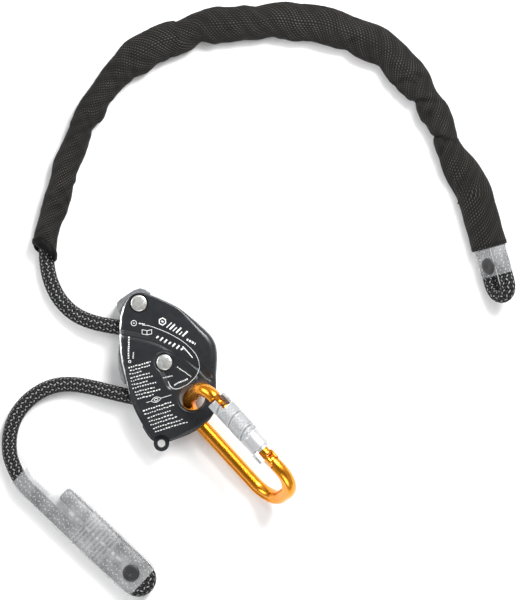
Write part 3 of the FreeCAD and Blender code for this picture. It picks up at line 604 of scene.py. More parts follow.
def woven_sleeve():
    W = np.array(WIDTHS)
    st = W[:, :2]
    tan = np.gradient(st, axis=0)
    tan /= np.linalg.norm(tan, axis=1)[:, None]
    right = np.stack([tan[:, 1], -tan[:, 0]], axis=1)
    mid = st + right * ((W[:, 2] - W[:, 3]) / 2)[:, None]
    half = (W[:, 2] + W[:, 3]) / 2
    # dense centre line
    t = np.linspace(0, len(W) - 1, 900)
    C2, hw = catmull(mid, t), catmull(half, t)
    L = np.concatenate([[0], np.cumsum(np.linalg.norm(np.diff(C2, axis=0), axis=1))])
    step = 1.15
    S = np.arange(0, L[-1], step)
    cx, cy, w = np.interp(S, L, C2[:, 0]), np.interp(S, L, C2[:, 1]), np.interp(S, L, hw)
    o, A = EYE_M
    # on over the sewn eye, along the eye's own axis
    ext = np.arange(-6.0, 41.6, step)
    # main line ends near the start of the eye; carry on straight to the cover's axis
    e = o + A[0] * ext[:, None]
    gap = np.hypot(e[0, 0] - cx[-1], e[0, 1] - cy[-1])
    tt = np.arange(1, int(gap / step)) / int(gap / step)
    cx = np.concatenate([cx, cx[-1] + (e[0, 0] - cx[-1]) * tt])
    cy = np.concatenate([cy, cy[-1] + (e[0, 1] - cy[-1]) * tt])
    w = np.concatenate([w, np.full(len(tt), w[-1])])
    S = np.zeros(len(cx))
    k = len(S)
    P = np.concatenate([np.stack([cx, cy, np.full(k, 8.2)], axis=1), e])
    # smooth the join
    from_ = k - int(22 / step)
    to_ = k + int(8 / step)
    for _ in range(45):
        P[from_:to_] = (P[from_ - 1:to_ - 1] + P[from_:to_] * 2 + P[from_ + 1:to_ + 1]) / 4
    n = len(P)
    S = np.concatenate([[0], np.cumsum(np.linalg.norm(np.diff(P, axis=0), axis=1))])
    T = np.gradient(P, axis=0)
    T /= np.linalg.norm(T, axis=1)[:, None]
    side = np.cross([0, 0, 1.0], T)
    side /= np.linalg.norm(side, axis=1)[:, None]
    up = np.cross(T, side)
    s_eye = S[k] - 5.0
    f = np.clip((S - (s_eye - 34)) / 44, 0, 1)
    f = f * f * (3 - 2 * f)
    m = 120
    a = np.arange(m) / m * 2 * np.pi
    ca, sa = np.cos(a), np.sin(a)
    ww = np.concatenate([w, np.full(n - k, w[-1])])
    rings = np.zeros((n, m, 3))
    fold_at = [(150.0, 1, 7.0, 1.6), (131.0, 1, 6.0, 1.1), (96.0, 1, 6.0, 1.0), (186.0, 1, 8.0, 1.6), (208.0, -1, 9, .8),
               (231.0, 1, 8.0, 1.6), (262.0, -1, 8, 0.9), (292.0, 1, 9.0, 1.3), (330.0, 1, 8, 1.0), (356.0, 1, 9.0, 1.2),
               (383.0, 1, 7.0, 1.5), (404.0, 1, 6.5, 2.0), (424.0, -1, 6.0, 1.3), (437.0, 1, 6.0, 1.8), (452.0, -1, 6, 1.0),
               (60.0, -1, 8.0, 1.0), (36.0, 1, 7.0, 0.9)]
    for i in range(n):
        b = float(np.clip(8.4 - (ww[i] - 9.0) * 0.28, 6.9, 8.3))
        wi = ww[i]
        # flat tube: squarish ellipse with the crease at each side
        e1 = 0.86
        x1 = wi * np.sign(ca) * np.abs(ca) ** e1
        y1 = b * np.sign(sa) * np.abs(sa) ** 0.80
        # cuff over the sewn eye
        r = 7.75 + 0.15 * math.sin(S[i] * 0.31)
        x2 = 8.25 * np.tanh(ca * 2.2) / np.tanh(2.2) + r * ca
        y2 = r * np.sign(sa) * np.abs(sa) ** 0.94
        g = f[i]
        x, y = x1 * (1 - g) + x2 * g, y1 * (1 - g) + y2 * g
        ph = TILT * g
        # side[] points left of travel, like the eye's own y axis
        rings[i] = P[i] - np.outer(x, side[i] * math.cos(ph) + up[i] * math.sin(ph)) + np.outer(y, up[i] * math.cos(ph) - side[i] * math.sin(ph))
    # ease the change from the flat tube to the cuff
    i0, i1 = max(1, k - int(34 / step)), k + int(3 / step)
    for _ in range(14):
        rings[i0:i1] = (rings[i0 - 1:i1 - 1] + rings[i0:i1] * 2 + rings[i0 + 1:i1 + 1]) / 4
    # sheared, oblique cut at the open end
    for i in range(n):
        d = math.exp(-(S[i] / 14.0) ** 2)
        if d > 0.002:
            rings[i] += np.outer((-5.2 * ca + 3.4 * sa) * d, T[i])
            rings[i] += np.outer(0.9 * d * np.sign(sa) * np.abs(sa), up[i])
    # normals of the rings for the folds
    nrm = np.cross(np.gradient(rings, axis=0), np.roll(rings, -1, axis=1) - np.roll(rings, 1, axis=1))
    nrm /= np.maximum(np.linalg.norm(nrm, axis=2), 1e-9)[:, :, None]
    outw = rings - P[:, None, :]
    sign = np.sign((nrm * outw).sum())
    nrm *= sign
    disp = np.zeros((n, m))
    for i in range(n):
        calm = (1 - 0.8 * f[i]) * (1 - 0.7 * smooth01((S[i] - (s_eye - 62)) / 30))
        for j in range(m):
            q = (S[i], ca[j] * ww[i], sa[j] * 8)
            big = nz(q, 0.045, 1)
            ridge = 0.45 - abs(nz((q[0] * 0.8 + q[1] * 0.9, q[1] * 0.5, q[2] * 0.4), 0.062, 5)) * 2.6
            small = nz((q[0] * 1.4 - q[1], q[1], q[2]), 0.16, 9)
            disp[i, j] = (big * 2.0 + ridge * 1.25 + small * 0.55) * calm * (0.25 + 0.75 * abs(sa[j]) ** 0.5)
    for s0, sd, wd, dep in fold_at:
        for i in range(n):
            if abs(S[i] - s0) > wd * 3.2 or f[i] > 0.5:
                continue
            for sg, amp in ((1.0, -dep), (-1.0, dep * 0.55)):
                # a crease that runs slantwise from the inside edge, dying out across the width
                pos = s0 + sg * wd * 0.42 + sd * (1 - ca) * 6.5
                disp[i] += 1.35 * amp * np.exp(-((S[i] - pos) / (wd * 0.36)) ** 2) * (0.5 + 0.5 * ca) ** 0.8 * (0.25 + 0.75 * np.abs(sa))
    rings = rings + nrm * disp[:, :, None]
    rings[:, :, 2] = np.maximum(rings[:, :, 2], 0.85 + 0.25 * np.sin(np.arange(m) * 0.7)[None, :])
    # the cloth lies on the rope, never inside it
    core = np.asarray(up_line, float) * 1000 - SHIFT
    core, _ = resample(core, np.arange(0, _up_len, 0.6))
    kd = KDTree(len(core))
    for q, c in enumerate(core):
        kd.insert(Vector(c), q)
    kd.balance()
    for i in range(n):
        for j in range(m):
            c, _, d = kd.find(Vector(rings[i, j]))
            if 1e-6 < d < 7.1:
                rings[i, j] = np.array(c) + (rings[i, j] - np.array(c)) * (7.1 / d)
    v, fc = loft(rings, caps=False)
    per = 66.0
    uvs = loft_uv(fc, n, m, per / m, S.tolist())
    ob = make("protective_sleeve_weave", v, fc, "sleeve_fabric", "body", ["protective_sleeve"], uv=uvs, smooth=math.radians(70))
    md = ob.modifiers.new("thickness", "SOLIDIFY")
    md.thickness = 0.0008
    md.offset = -1
    md.use_rim = True
    bpy.context.view_layer.objects.active = ob
    with bpy.context.temp_override(object=ob, active_object=ob, selected_objects=[ob]):
        bpy.ops.object.modifier_apply(modifier="thickness")
    # stitched hem round the open end and round the cuff's end
    hems = []
    for idx in (int(3.2 / step), n - 1 - int(2.6 / step)):
        ring = rings[idx] + nrm[idx] * 0.12
        d = np.linalg.norm(np.roll(ring, -1, axis=0) - ring, axis=1)
        Lr = np.concatenate([[0], np.cumsum(d)])
        cl = np.concatenate([ring, ring[:1]])
        nn = np.concatenate([nrm[idx], nrm[idx][:1]])
        pitch = 2.6
        cnt = int(Lr[-1] / pitch)
        for q in range(cnt):
            ss = np.linspace(q * pitch, q * pitch + 1.9, 7)
            c = np.stack([np.interp(ss, Lr, cl[:, x]) for x in range(3)], axis=1)
            nm = np.stack([np.interp(ss, Lr, nn[:, x]) for x in range(3)], axis=1)
            lift = np.sin(np.linspace(0, np.pi, 7)) * 0.26 - 0.10
            c = c + nm * lift[:, None]
            hems.append(c)
    vv, ff = [], []
    for c in hems:
        T_, N_, B_ = frames(c)
        al = np.linspace(0, 2 * np.pi, 8, endpoint=False)
        R = c[:, None, :] + 0.24 * (N_[:, None, :] * np.cos(al)[None, :, None] + B_[:, None, :] * np.sin(al)[None, :, None])
        v_, f_ = loft(R)
        off = len(vv)
        vv += v_
        ff += [tuple(x + off for x in q) for q in f_]
    vv = np.array(vv)
    vv[:, 2] = np.maximum(vv[:, 2], 0.3)
    # near-black rolled band round the open end: partly the hem, partly painted shade where the rope goes into the
    # sleeve
    ring = rings[0] + (rings[1] - rings[0]) * 0.4
    T_ = np.roll(ring, -1, axis=0) - np.roll(ring, 1, axis=0)
    T_ /= np.linalg.norm(T_, axis=1)[:, None]
    N_ = nrm[0] - T_ * (nrm[0] * T_).sum(axis=1)[:, None]
    N_ /= np.linalg.norm(N_, axis=1)[:, None]
    B_ = np.cross(T_, N_)
    al = np.linspace(0, 2 * np.pi, 20, endpoint=False)
    rr_ = 1.9 + 1.5 * np.clip(sa, 0, 1) + 0.15 * np.sin(a * 7)
    R = ring[:, None, :] + rr_[:, None, None] * (N_[:, None, :] * 0.62 * np.cos(al)[None, :, None] + B_[:, None, :] * 1.15 * np.sin(al)[None, :, None])
    R = R - N_[:, None, :] * 0.5
    v_, f_ = loft(R, caps=False, loop=True)
    off = len(vv)
    vv = np.concatenate([vv, np.array(v_)])
    vv[:, 2] = np.maximum(vv[:, 2], 0.3)
    ff += [tuple(x + off for x in q) for q in f_]
    hem = make("sleeve_hem_stitches", vv, ff, "rope_black", "body")
    hem.data.materials[0] = M["rope_black"]
    return ob, hem, float(S[-1])


sleeve_ob, hem_ob, SLEEVE_LEN = woven_sleeve()
print("sleeve length", round(SLEEVE_LEN, 1))


# ------------------------------------------------------------------ sewn ends: clear covers, thread, rivets
def stadium_ring(x, half, r, m, wob=0.0, seed=0, h2=None):
    """ring round local x with straight top and bottom; h2 moves the far strand's side inwards"""
    top = []
    a = np.arange(m) / m * 2 * np.pi
    out = []
    for t in a:
        c, s = math.cos(t), math.sin(t)
        hy = half if c < 0 else (half if h2 is None else h2)
        k = math.tanh(c * 2.6) / math.tanh(2.6)
        y = hy * k + r * c
        z = r * (abs(s) ** 0.92) * (1 if s > 0 else -1)
        if wob:
            d = nz((x, y * 0.7, z * 0.7), 0.11, seed) * wob
            y += d * c
            z += d * s
        out.append((x, y, z))
    return out


def clear_cover(name, fr, x0, x1, half, ri, ro, seed, notch=None, node=None):
    m = 64
    xs = np.arange(x0, x1 + 0.01, 1.1)
    def shape(r, flare):
        rings = []
        for x in xs:
            h2 = half
            if notch:
                g = np.clip((x - notch[0]) / (notch[1] - notch[0]), 0, 1)
                g = g * g * (3 - 2 * g)
                # before the shoulder only the single rope is inside
                h2 = -half * (1 - g) * 0.72 + half * g
            rg = np.array(stadium_ring(x, half, r, m, 0.16, seed, h2))
            if notch:
                rg[:, 1] += 2.0 * smooth01((-2.0 - x) / 8.5)
            rings.append(rg)
        return rings
    outer, inner = shape(ro, 0), shape(ri, 0)
    rings = outer + inner[::-1]
    pts = carried(fr, np.array(rings).reshape(-1, 3)).reshape(len(rings), m, 3)
    v, f = loft(pts, caps=False, loop=True)
    v = np.array(v)
    v[:, 2] = np.maximum(v[:, 2], 0.45)
    return make(name, v, f, "cover_clear", "body", [node], smooth=math.radians(50))


stop_cover = clear_cover("stop_cover_film", STOP_M, -10.0, 113.0, 8.25, 6.55, 7.25, 3, notch=(13.0, 27.0), node="stop_cover")
eye_cover = clear_cover("eye_cover_film", EYE_M, 2.0, 63.5, 8.25, 6.35, 6.95, 8, node="eye_cover")


def emboss(name, fr, x0, x1, z):
    """plain raised lozenges and bars moulded in the clear cover"""
    vv, ff = [], []
    x = x0
    k = 0
    while x < x1:
        w = 2.6 if k % 3 else 5.0
        h = 2.4
        n = 20
        pts = []
        for ring, (sc, zz) in enumerate(((1.0, z - 0.1), (0.96, z + 0.16), (0.80, z + 0.26))):
            row_ = []
            for q in range(n):
                t = 2 * math.pi * q / n
                px = w / 2 * sc * math.copysign(abs(math.cos(t)) ** 0.5, math.cos(t))
                py = h / 2 * sc * math.copysign(abs(math.sin(t)) ** 0.5, math.sin(t))
                row_.append((x + w / 2 + px, 1.2 + py, zz))
            pts.append(row_)
        v_, f_ = loft(np.array([carried(fr, r_) for r_ in pts]))
        off = len(vv)
        vv += v_
        ff += [tuple(i + off for i in q) for q in f_]
        x += w + 2.0
        k += 1
    return make(name, vv, ff, "cover_clear", "body", smooth=math.radians(40))


cover_relief = emboss("stop_cover_relief", STOP_M, 36, 88, 7.2)


def thread_loops(name, fr, x0, count, pitch, half, r, node):
    vv, ff = [], []
    m = 40
    for i in range(count):
        for k in range(2):
            x = x0 + i * pitch + k * 0.8 + 0.35
            ring = np.array(stadium_ring(x, half, r, m))
            ring[:, 0] += 0.35 * np.sin(np.arange(m) / m * 2 * np.pi + i * 1.3 + k)
            ring = carried(fr, ring)
            P = np.concatenate([ring, ring[:1]])
            T_ = np.roll(ring, -1, axis=0) - np.roll(ring, 1, axis=0)
            T_ /= np.linalg.norm(T_, axis=1)[:, None]
            ax = fr[1][0]
            N_ = np.cross(T_, ax)
            N_ /= np.linalg.norm(N_, axis=1)[:, None]
            al = np.linspace(0, 2 * np.pi, 8, endpoint=False)
            R = ring[:, None, :] + 0.36 * (N_[:, None, :] * np.cos(al)[None, :, None] + ax[None, None, :] * np.sin(al)[None, :, None])
            v_, f_ = loft(R, caps=False, loop=True)
            off = len(vv)
            vv += v_
            ff += [tuple(q + off for q in f0) for f0 in f_]
    return make(name, vv, ff, "thread_grey", "body", [node])


stop_thread = thread_loops("stop_whipping", STOP_M, 50.0, 9, 3.4, 8.25, 6.05, "stop_stitching")
eye_thread = thread_loops("eye_whipping", EYE_M, 14.0, 9, 3.4, 8.25, 6.0, "eye_stitching")


def snap_rivet(name, fr, x, ro, node):
    """two-headed plastic rivet: dished head with a socket, shank"""
    o, A = fr
    top = ro + 1.15
    prof = [(0.0, ro + 0.15), (1.0, ro + 0.15), (1.15, ro + 0.75), (1.9, ro + 0.85), (3.2, top - 0.12), (4.9, top - 0.15),
            (5.9, ro + 0.65), (6.25, ro + 0.3), (6.3, ro - 0.05), (2.1, ro - 0.05), (2.0, 0.0), (2.0, -(ro - 0.05)), (6.3, -(ro - 0.05)),
            (6.25, -(ro + 0.3)), (5.9, -(ro + 0.65)), (4.9, -(top - 0.15)), (3.2, -(top - 0.12)), (0.0, -(top - 0.05))]
    prof = fillet_profile(prof, 0.35, 3)
    rings = np.array(lathe(prof, 64))
    pts = rings.reshape(-1, 3) + np.array([x, 0, 0])
    pts = carried(fr, pts).reshape(rings.shape)
    v, f = loft(pts, caps=False)
    v = np.array(v)
    v[:, 2] = np.maximum(v[:, 2], 0.02)
    return make(name, v, f, "rivet_black", "body", [node])


stop_rivet = snap_rivet("stop_rivet_snap", STOP_M, 101.2, 7.3, "stop_rivet")
eye_rivet = snap_rivet("eye_rivet_snap", EYE_M, 54.5, 7.0, "eye_rivet")

# ------------------------------------------------------------------ front plate
OUTLINE = [(-17.0, 52.0), (-11.8, 50.7), (-2.3, 47.0), (10.35, 40.7), (19.8, 33.4), (28.2, 26.0),
           (34.5, 19.65), (38.0, 13.35), (39.3, 4.95), (39.0, -3.45), (38.5, -10.9), (38.6, -18.2),
           (39.0, -27.0), (38.0, -35.5), (34.6, -41.8), (29.25, -46.3), (23.5, -50.6), (14.55, -54.8),
           (4.05, -58.6), (-3.2, -59.8), (-8.8, -57.3), (-13.9, -50.85), (-18.3, -43.2), (-22.6, -34.6),
           (-25.95, -25.6), (-28.4, -16.1), (-30.7, -6.6), (-32.6, 2.85), (-33.6, 13.35), (-33.7, 23.85),
           (-32.9, 34.4), (-30.3, 43.0), (-26.2, 48.7), (-21.8, 51.4)]
TOP_AXLE, EYE, LUG = (-19.05, 44.1), (20.55, -26.1), (-2.3, -60.8)
BAND = [(-60, 23.8), (-40, 23.5), (-31.5, 23.0), (-21.0, 21.0), (-11.0, 18.8), (-2.0, 15.6), (5.5, 11.4), (19.0, 3.0),
        (27.5, -3.0), (33.0, -9.0), (45, -16.0), (60, -24)]
POCKET = [(0.5, 8.3), (5.5, 7.2), (12.5, 3.2), (19.0, -2.2), (24.5, -8.2), (24.8, -12.2), (21.5, -15.6), (15.0, -18.4),
          (9.0, -20.2), (5.2, -20.6), (2.0, -18.6), (-0.4, -13.4), (-3.4, -7.6), (-7.4, -2.4), (-8.4, 2.6), (-6.0, 6.8)]


def closed_curve(points, step):
    """closed smooth curve through points, resampled evenly"""
    P = np.array(points)
    n = len(P)
    pts = []
    for i in range(n):
        p0, p1, p2, p3 = P[i - 1], P[i], P[(i + 1) % n], P[(i + 2) % n]
        for k in range(12):
            f = k / 12
            pts.append(0.5 * ((2 * p1) + (-p0 + p2) * f + (2 * p0 - 5 * p1 + 4 * p2 - p3) * f * f + (-p0 + 3 * p1 - 3 * p2 + p3) * f ** 3))
    pts = np.array(pts + [pts[0]])
    L = np.concatenate([[0], np.cumsum(np.linalg.norm(np.diff(pts, axis=0), axis=1))])
    m = int(L[-1] / step)
    s = np.arange(m) / m * L[-1]
    return np.stack([np.interp(s, L, pts[:, 0]), np.interp(s, L, pts[:, 1])], axis=1)


def seg_dist(Q, line, closed=True):
    """distance of points to a polyline, and the nearest segment's side (+ left of travel)"""
    L = np.asarray(line, float)
    A = L if closed else L[:-1]
    B = np.roll(L, -1, axis=0) if closed else L[1:]
    best = np.full(len(Q), 1e9)
    sd = np.zeros(len(Q))
    for a, b in zip(A, B):
        d = b - a
        t = np.clip(((Q - a) @ d) / max(d @ d, 1e-9), 0, 1)
        c = a + t[:, None] * d
        v = Q - c
        dist = np.hypot(v[:, 0], v[:, 1])
        cr = d[0] * (Q[:, 1] - a[1]) - d[1] * (Q[:, 0] - a[0])
        near = dist < best - 1e-9
        best = np.where(near, dist, best)
        sd = np.where(near, np.sign(cr), sd)
    return best, sd


EDGE = closed_curve(OUTLINE, 0.9)
POCKET_C = closed_curve(POCKET, 0.9)
Z_BASE = 23.0


def plate_z(Q):
    """height of the front face"""
    Q = np.asarray(Q, float).reshape(-1, 2)
    z = np.full(len(Q), Z_BASE)
    d, s = seg_dist(Q, BAND, closed=False)
    sgn = d * s           # + above the ridge
    z += 1.5 * smooth01((sgn + 1.6) / 3.4) - 0.40 * np.exp(-((sgn + 2.4) / 1.5) ** 2)
    dp, sp = seg_dist(Q, POCKET_C)
    inside = dp * -sp     # outline runs clockwise: inside is to the right
    z -= 1.35 * smooth01((inside + 0.3) / 3.0)
    # shallow dish of the lower plateau
    z -= 0.18 * np.exp(-(((Q[:, 0] + 8) / 16) ** 2 + ((Q[:, 1] + 30) / 22) ** 2))
    # edge
    de, se = seg_dist(Q, EDGE)
    right = smooth01((Q[:, 0] - 8) / 22) * smooth01((Q[:, 1] + 40) / 18) + smooth01((Q[:, 0] - 2) / 18) * smooth01((-36 - Q[:, 1]) / 8) * 0.5
    R = 1.1 + 3.6 * np.clip(right, 0, 1)
    q = np.clip(1 - de / R, 0, 1)
    drop = R * (1 - np.sqrt(np.clip(1 - q * q, 0, 1)))
    z -= np.minimum(drop, 2.3 + 2.5 * np.clip(right, 0, 1)) * 0.92
    # left edge: thin rolled lip
    left = smooth01((-14 - Q[:, 0]) / 8)
    z += left * 0.35 * np.exp(-((de - 1.7) / 0.8) ** 2)
    # eye: rolled rim
    r = np.hypot(Q[:, 0] - EYE[0], Q[:, 1] - EYE[1]) - 9.7
    z += 0.25 * np.exp(-((r - 2.0) / 1.1) ** 2) - 1.2 * (1 - np.sqrt(np.clip(1 - np.clip(1 - r / 1.5, 0, 1) ** 2, 0, 1)))
    # recess round the two rivets
    for (cx, cy), rr, dep in ((TOP_AXLE, 7.1, 1.1), ((0, 0), 7.4, 0.5)):
        r = np.hypot(Q[:, 0] - cx, Q[:, 1] - cy)
        z = np.where(r < rr + 0.5, np.minimum(z, z * 0 + (Z_BASE - (0.0 if cx else 0.55)) + (z - Z_BASE + 0.9) * smooth01((r - rr + 0.5) / 1.0)), z)
    return z


def front_plate():
    step = 0.62
    rim = closed_curve(OUTLINE, step * 1.0)
    ctr = rim.mean(axis=0)
    T = np.roll(rim, -1, axis=0) - np.roll(rim, 1, axis=0)
    T /= np.linalg.norm(T, axis=1)[:, None]
    inn = np.stack([T[:, 1], -T[:, 0]], axis=1)      # clockwise: right of travel is inside
    loops = [rim]
    for d in (0.12, 0.32, 0.62, 1.0, 1.5, 2.1):
        loops.append(rim + inn * d)
    holes = []
    for (c, r) in ((EYE, 9.7), (LUG, 6.6), (TOP_AXLE, 4.0), ((0, 0), 5.0)):
        for k, d in enumerate((0.0, 0.12, 0.4, 0.9, 1.5) if r > 7 else (0.0, 0.5)):
            n = int(2 * math.pi * r / (step * 0.9))
            a = np.arange(n) / n * 2 * np.pi
            holes.append((np.stack([c[0] + (r + d) * np.cos(a), c[1] + (r + d) * np.sin(a)], axis=1), k == 0, c, r))
    for (c, rr) in ((TOP_AXLE, 7.1), ((0, 0), 7.4)):
        for d in (-0.5, -0.2, 0.1, 0.5):
            n = int(2 * math.pi * rr / (step * 0.9))
            a = np.arange(n) / n * 2 * np.pi
            holes.append((np.stack([c[0] + (rr + d) * np.cos(a), c[1] + (rr + d) * np.sin(a)], axis=1), False, c, rr))
    gx, gy = np.meshgrid(np.arange(-36, 42, step), np.arange(-62, 54, step))
    gx = gx + (np.arange(gy.shape[0]) % 2)[:, None] * step / 2
    G = np.stack([gx.ravel(), gy.ravel()], axis=1)
    d, s = seg_dist(G, rim)
    keep = (s < 0) & (d > 2.5)
    for pts, _, c, r in holes:
        rad = np.hypot(*(pts[0] - np.array(c)))
        rr = np.hypot(G[:, 0] - c[0], G[:, 1] - c[1])
        keep &= np.abs(rr - rad) > step * 0.42
    for c, r in ((EYE, 9.7), (LUG, 6.6), (TOP_AXLE, 4.0), ((0, 0), 5.0)):
        keep &= np.hypot(G[:, 0] - c[0], G[:, 1] - c[1]) > r
    G = G[keep]
    pts, edges = [], []

    def add_loop(P, filt=None):
        start = len(pts)
        pts.extend(P.tolist())
        edges.extend((start + i, start + (i + 1) % len(P)) for i in range(len(P)))
        return start, len(P)
    add_loop(rim)
    for P in loops[1:]:
        ok = np.ones(len(P), bool)
        for c, r in ((EYE, 9.7), (LUG, 6.6), (TOP_AXLE, 4.0), ((0, 0), 5.0)):
            ok &= np.hypot(P[:, 0] - c[0], P[:, 1] - c[1]) > r + 0.2
        pts.extend(P[ok].tolist())
    for P, is_edge, c, r in holes:
        if is_edge:
            add_loop(P)
        else:
            dd, ss = seg_dist(P, rim)
            ok = (ss < 0) & (dd > 0.3)
            pts.extend(P[ok].tolist())
    pts.extend(G.tolist())
    res = geometry.delaunay_2d_cdt([Vector(p) for p in pts], edges, [], 0, 1e-4)
    V2 = np.array([tuple(v) for v in res[0]])
    tris = [tuple(f) for f in res[2]]
    C = np.array([V2[list(t)].mean(axis=0) for t in tris])
    d, s = seg_dist(C, rim)
    ok = s < 0
    for c, r in ((EYE, 9.7), (LUG, 6.6), (TOP_AXLE, 4.0), ((0, 0), 5.0)):
        ok &= np.hypot(C[:, 0] - c[0], C[:, 1] - c[1]) > r * 0.999
    tris = [t for t, k in zip(tris, ok) if k]
    used = sorted({i for t in tris for i in t})
    remap = {o: i for i, o in enumerate(used)}
    tris = [tuple(remap[i] for i in t) for t in tris]
    V2 = V2[used]
    Zt = plate_z(V2)
    # underside: flat, with the flange on the right-hand rim carried down
    n = len(V2)
    # orient
    t = tris[0]
    a, b, c = (V2[i] for i in t)
    if (b[0] - a[0]) * (c[1] - a[1]) - (b[1] - a[1]) * (c[0] - a[0]) < 0:
        pass
    cnt = {}
    for t in tris:
        for i in range(3):
            e = (t[i], t[(i + 1) % 3])
            cnt[e] = cnt.get(e, 0) + 1
    border = [e for e in cnt if (e[1], e[0]) not in cnt]
    dflange = smooth01((V2[:, 0] - 19.0) / 3.0) * smooth01((V2[:, 1] + 6.2) / 1.2)
    de, _ = seg_dist(V2, rim)
    Zb = 20.8 - 8.2 * dflange * (de < 2.3)
    verts = [(x, y, z) for (x, y), z in zip(V2, Zt)] + [(x, y, z) for (x, y), z in zip(V2, Zb)]
    faces = list(tris) + [tuple(i + n for i in t[::-1]) for t in tris]
    faces += [(e[1], e[0], e[0] + n, e[1] + n) for e in border]
    return make("front_plate_forging", verts, faces, "plate_black", "body", ["front_plate"], smooth=math.radians(48))


plate = front_plate()
bm = bmesh.new()
bm.from_mesh(plate.data)
bmesh.ops.remove_doubles(bm, verts=bm.verts, dist=0.00004)
bmesh.ops.dissolve_degenerate(bm, edges=bm.edges, dist=0.00003)
bmesh.ops.recalc_face_normals(bm, faces=bm.faces)
print("plate open edges", sum(1 for e in bm.edges if len(e.link_faces) != 2))
bm.to_mesh(plate.data)
bm.free()


# ------------------------------------------------------------------ plain marks printed on the front plate
def prints():
    vv, ff = [], []

    def strip(P, w):
        P = np.asarray(P, float)
        L = np.concatenate([[0], np.cumsum(np.linalg.norm(np.diff(P, axis=0), axis=1))])
        n = max(2, int(L[-1] / 0.45) + 1)
        s = np.linspace(0, L[-1], n)
        Q = np.stack([np.interp(s, L, P[:, 0]), np.interp(s, L, P[:, 1])], axis=1)
        T = np.gradient(Q, axis=0)
        T /= np.maximum(np.linalg.norm(T, axis=1), 1e-9)[:, None]
        N = np.stack([-T[:, 1], T[:, 0]], axis=1)
        a, b = Q + N * w / 2, Q - N * w / 2
        za, zb = plate_z(a), plate_z(b)
        off = len(vv)
        for i in range(n):
            h0, h1 = (0.045, -0.06)
            vv.extend([(a[i, 0], a[i, 1], za[i] + h0), (b[i, 0], b[i, 1], zb[i] + h0),
                       (b[i, 0], b[i, 1], zb[i] + h1), (a[i, 0], a[i, 1], za[i] + h1)])
        for i in range(n - 1):
            p, q = off + 4 * i, off + 4 * (i + 1)
            for k in range(4):
                ff.append((p + k, p + (k + 1) % 4, q + (k + 1) % 4, q + k))
        ff.append((off + 3, off + 2, off + 1, off))
        e = off + 4 * (n - 1)
        ff.append((e, e + 1, e + 2, e + 3))

    def px(p):
        return ((p[0] - 164.8) * 0.75, (362 - p[1]) * 0.75)

    def dash_row(p0, p1, w, seed, lo=0.7, hi=2.2, gap=0.45, jit=0.0):
        a, b = np.array(p0, float), np.array(p1, float)
        L = np.linalg.norm(b - a)
        u = (b - a) / L
        s, k = 0.0, seed
        while s < L:
            k = (k * 1103515245 + 12345) % 2147483648
            l = lo + (hi - lo) * (k % 1000) / 1000
            e = min(L, s + l)
            if e - s > 0.25:
                j = ((k // 7) % 100 / 100 - 0.5) * jit
                nv = np.array([-u[1], u[0]]) * j
                strip([a + u * s + nv, a + u * e + nv], w * (1 - 0.5 * abs(j) / max(jit, 1e-6)) if jit else w)
            s = e + gap

    # large mark on the upper band: a row of plain chevrons and bars
    base, ang = np.array([-4.9, 29.4]), math.radians(-28.5)
    ex, ey = np.array([math.cos(ang), math.sin(ang)]), np.array([-math.sin(ang), math.cos(ang)])

    def B(x, y):
        return base + ex * x + ey * y
    a = np.linspace(0, 2 * np.pi, 7)
    strip([B(2.6 + 2.7 * math.cos(t), 2.6 + 2.7 * math.sin(t)) for t in a], 0.8)
    strip([B(1.7, 2.6), B(3.5, 2.6)], 1.2)
    for k, (x, l) in enumerate(((7.4, 5.2), (10.1, 5.2), (12.8, 3.9), (15.5, 5.2), (18.2, 2.9), (20.9, 5.2))):
        strip([B(x, 0), B(x + l * 0.32, l)], 1.25 if k % 2 else 0.8)
    dash_row(B(24.8, -0.4), B(32.2, -0.4), 1.5, 7, 1.3, 1.8, 0.7)
    # rounded panel line round the pocket
    arc = [px(p) for p in ((143, 325), (149, 325.5), (158, 328.5), (170, 333.5), (182, 340.5), (190, 347), (196, 354), (199, 361),
                           (199.5, 368), (196, 376), (189, 383), (181, 387.5), (175, 388.5), (171, 386), (168.5, 381))]
    strip(catmull(arc, np.linspace(0, len(arc) - 1.001, 90)), 0.34)
    arc = [px(p) for p in ((183, 346), (188, 351.5), (193, 357.5))]
    strip(catmull(arc, np.linspace(0, 1.999, 20)), 0.7)
    # small ring and open book icons
    for (c, r) in (((134.5, 323), 2.0),):
        q = px(c)
        strip([(q[0] + r * math.cos(t), q[1] + r * math.sin(t)) for t in np.linspace(0, 2 * np.pi, 28)], 0.4)
        strip([(q[0] - 0.7, q[1]), (q[0] + 0.8, q[1])], 0.5)
    q = px((139.5, 323.2))
    dash_row((q[0], q[1]), (q[0] + 4.6, q[1] - 0.7), 0.9, 3, 0.6, 1.1, 0.35)
    q = px((147.5, 332.5))
    for sx in (-1, 1):
        strip([(q[0], q[1] - 1.6), (q[0] + sx * 3.6, q[1] - 0.9), (q[0] + sx * 3.6, q[1] + 2.3), (q[0], q[1] + 1.5)], 0.42)
    strip([(q[0], q[1] - 1.6), (q[0], q[1] + 1.5)], 0.42)
    # a row of plain blocks under the arc
    a0, b0 = np.array(px((155.5, 335.8))), np.array(px((180.5, 347.8)))
    u = (b0 - a0) / np.linalg.norm(b0 - a0)
    v = np.array([-u[1], u[0]])
    for k, s0 in enumerate((2.0, 5.4, 8.8, 12.2, 15.6, 19.0, 22.4)):
        c = a0 + u * s0
        h_ = 1.6 if k % 3 else 1.0
        strip([c - u * 0.5 - v * h_, c + u * 0.5 + v * h_], 1.25)
    # small columns down the left-hand edge
    dash_row(px((129.5, 336.5)), px((129.0, 358.5)), 1.25, 11, 0.5, 1.1, 0.5, 0.3)
    dash_row(px((134.0, 352.0)), px((133.6, 359.0)), 0.8, 5, 0.4, 0.8, 0.4)
    q = px((130.3, 361.3))
    strip([(q[0] + 0.9 * math.cos(t), q[1] + 0.9 * math.sin(t)) for t in np.linspace(0, 2 * np.pi, 20)], 0.5)
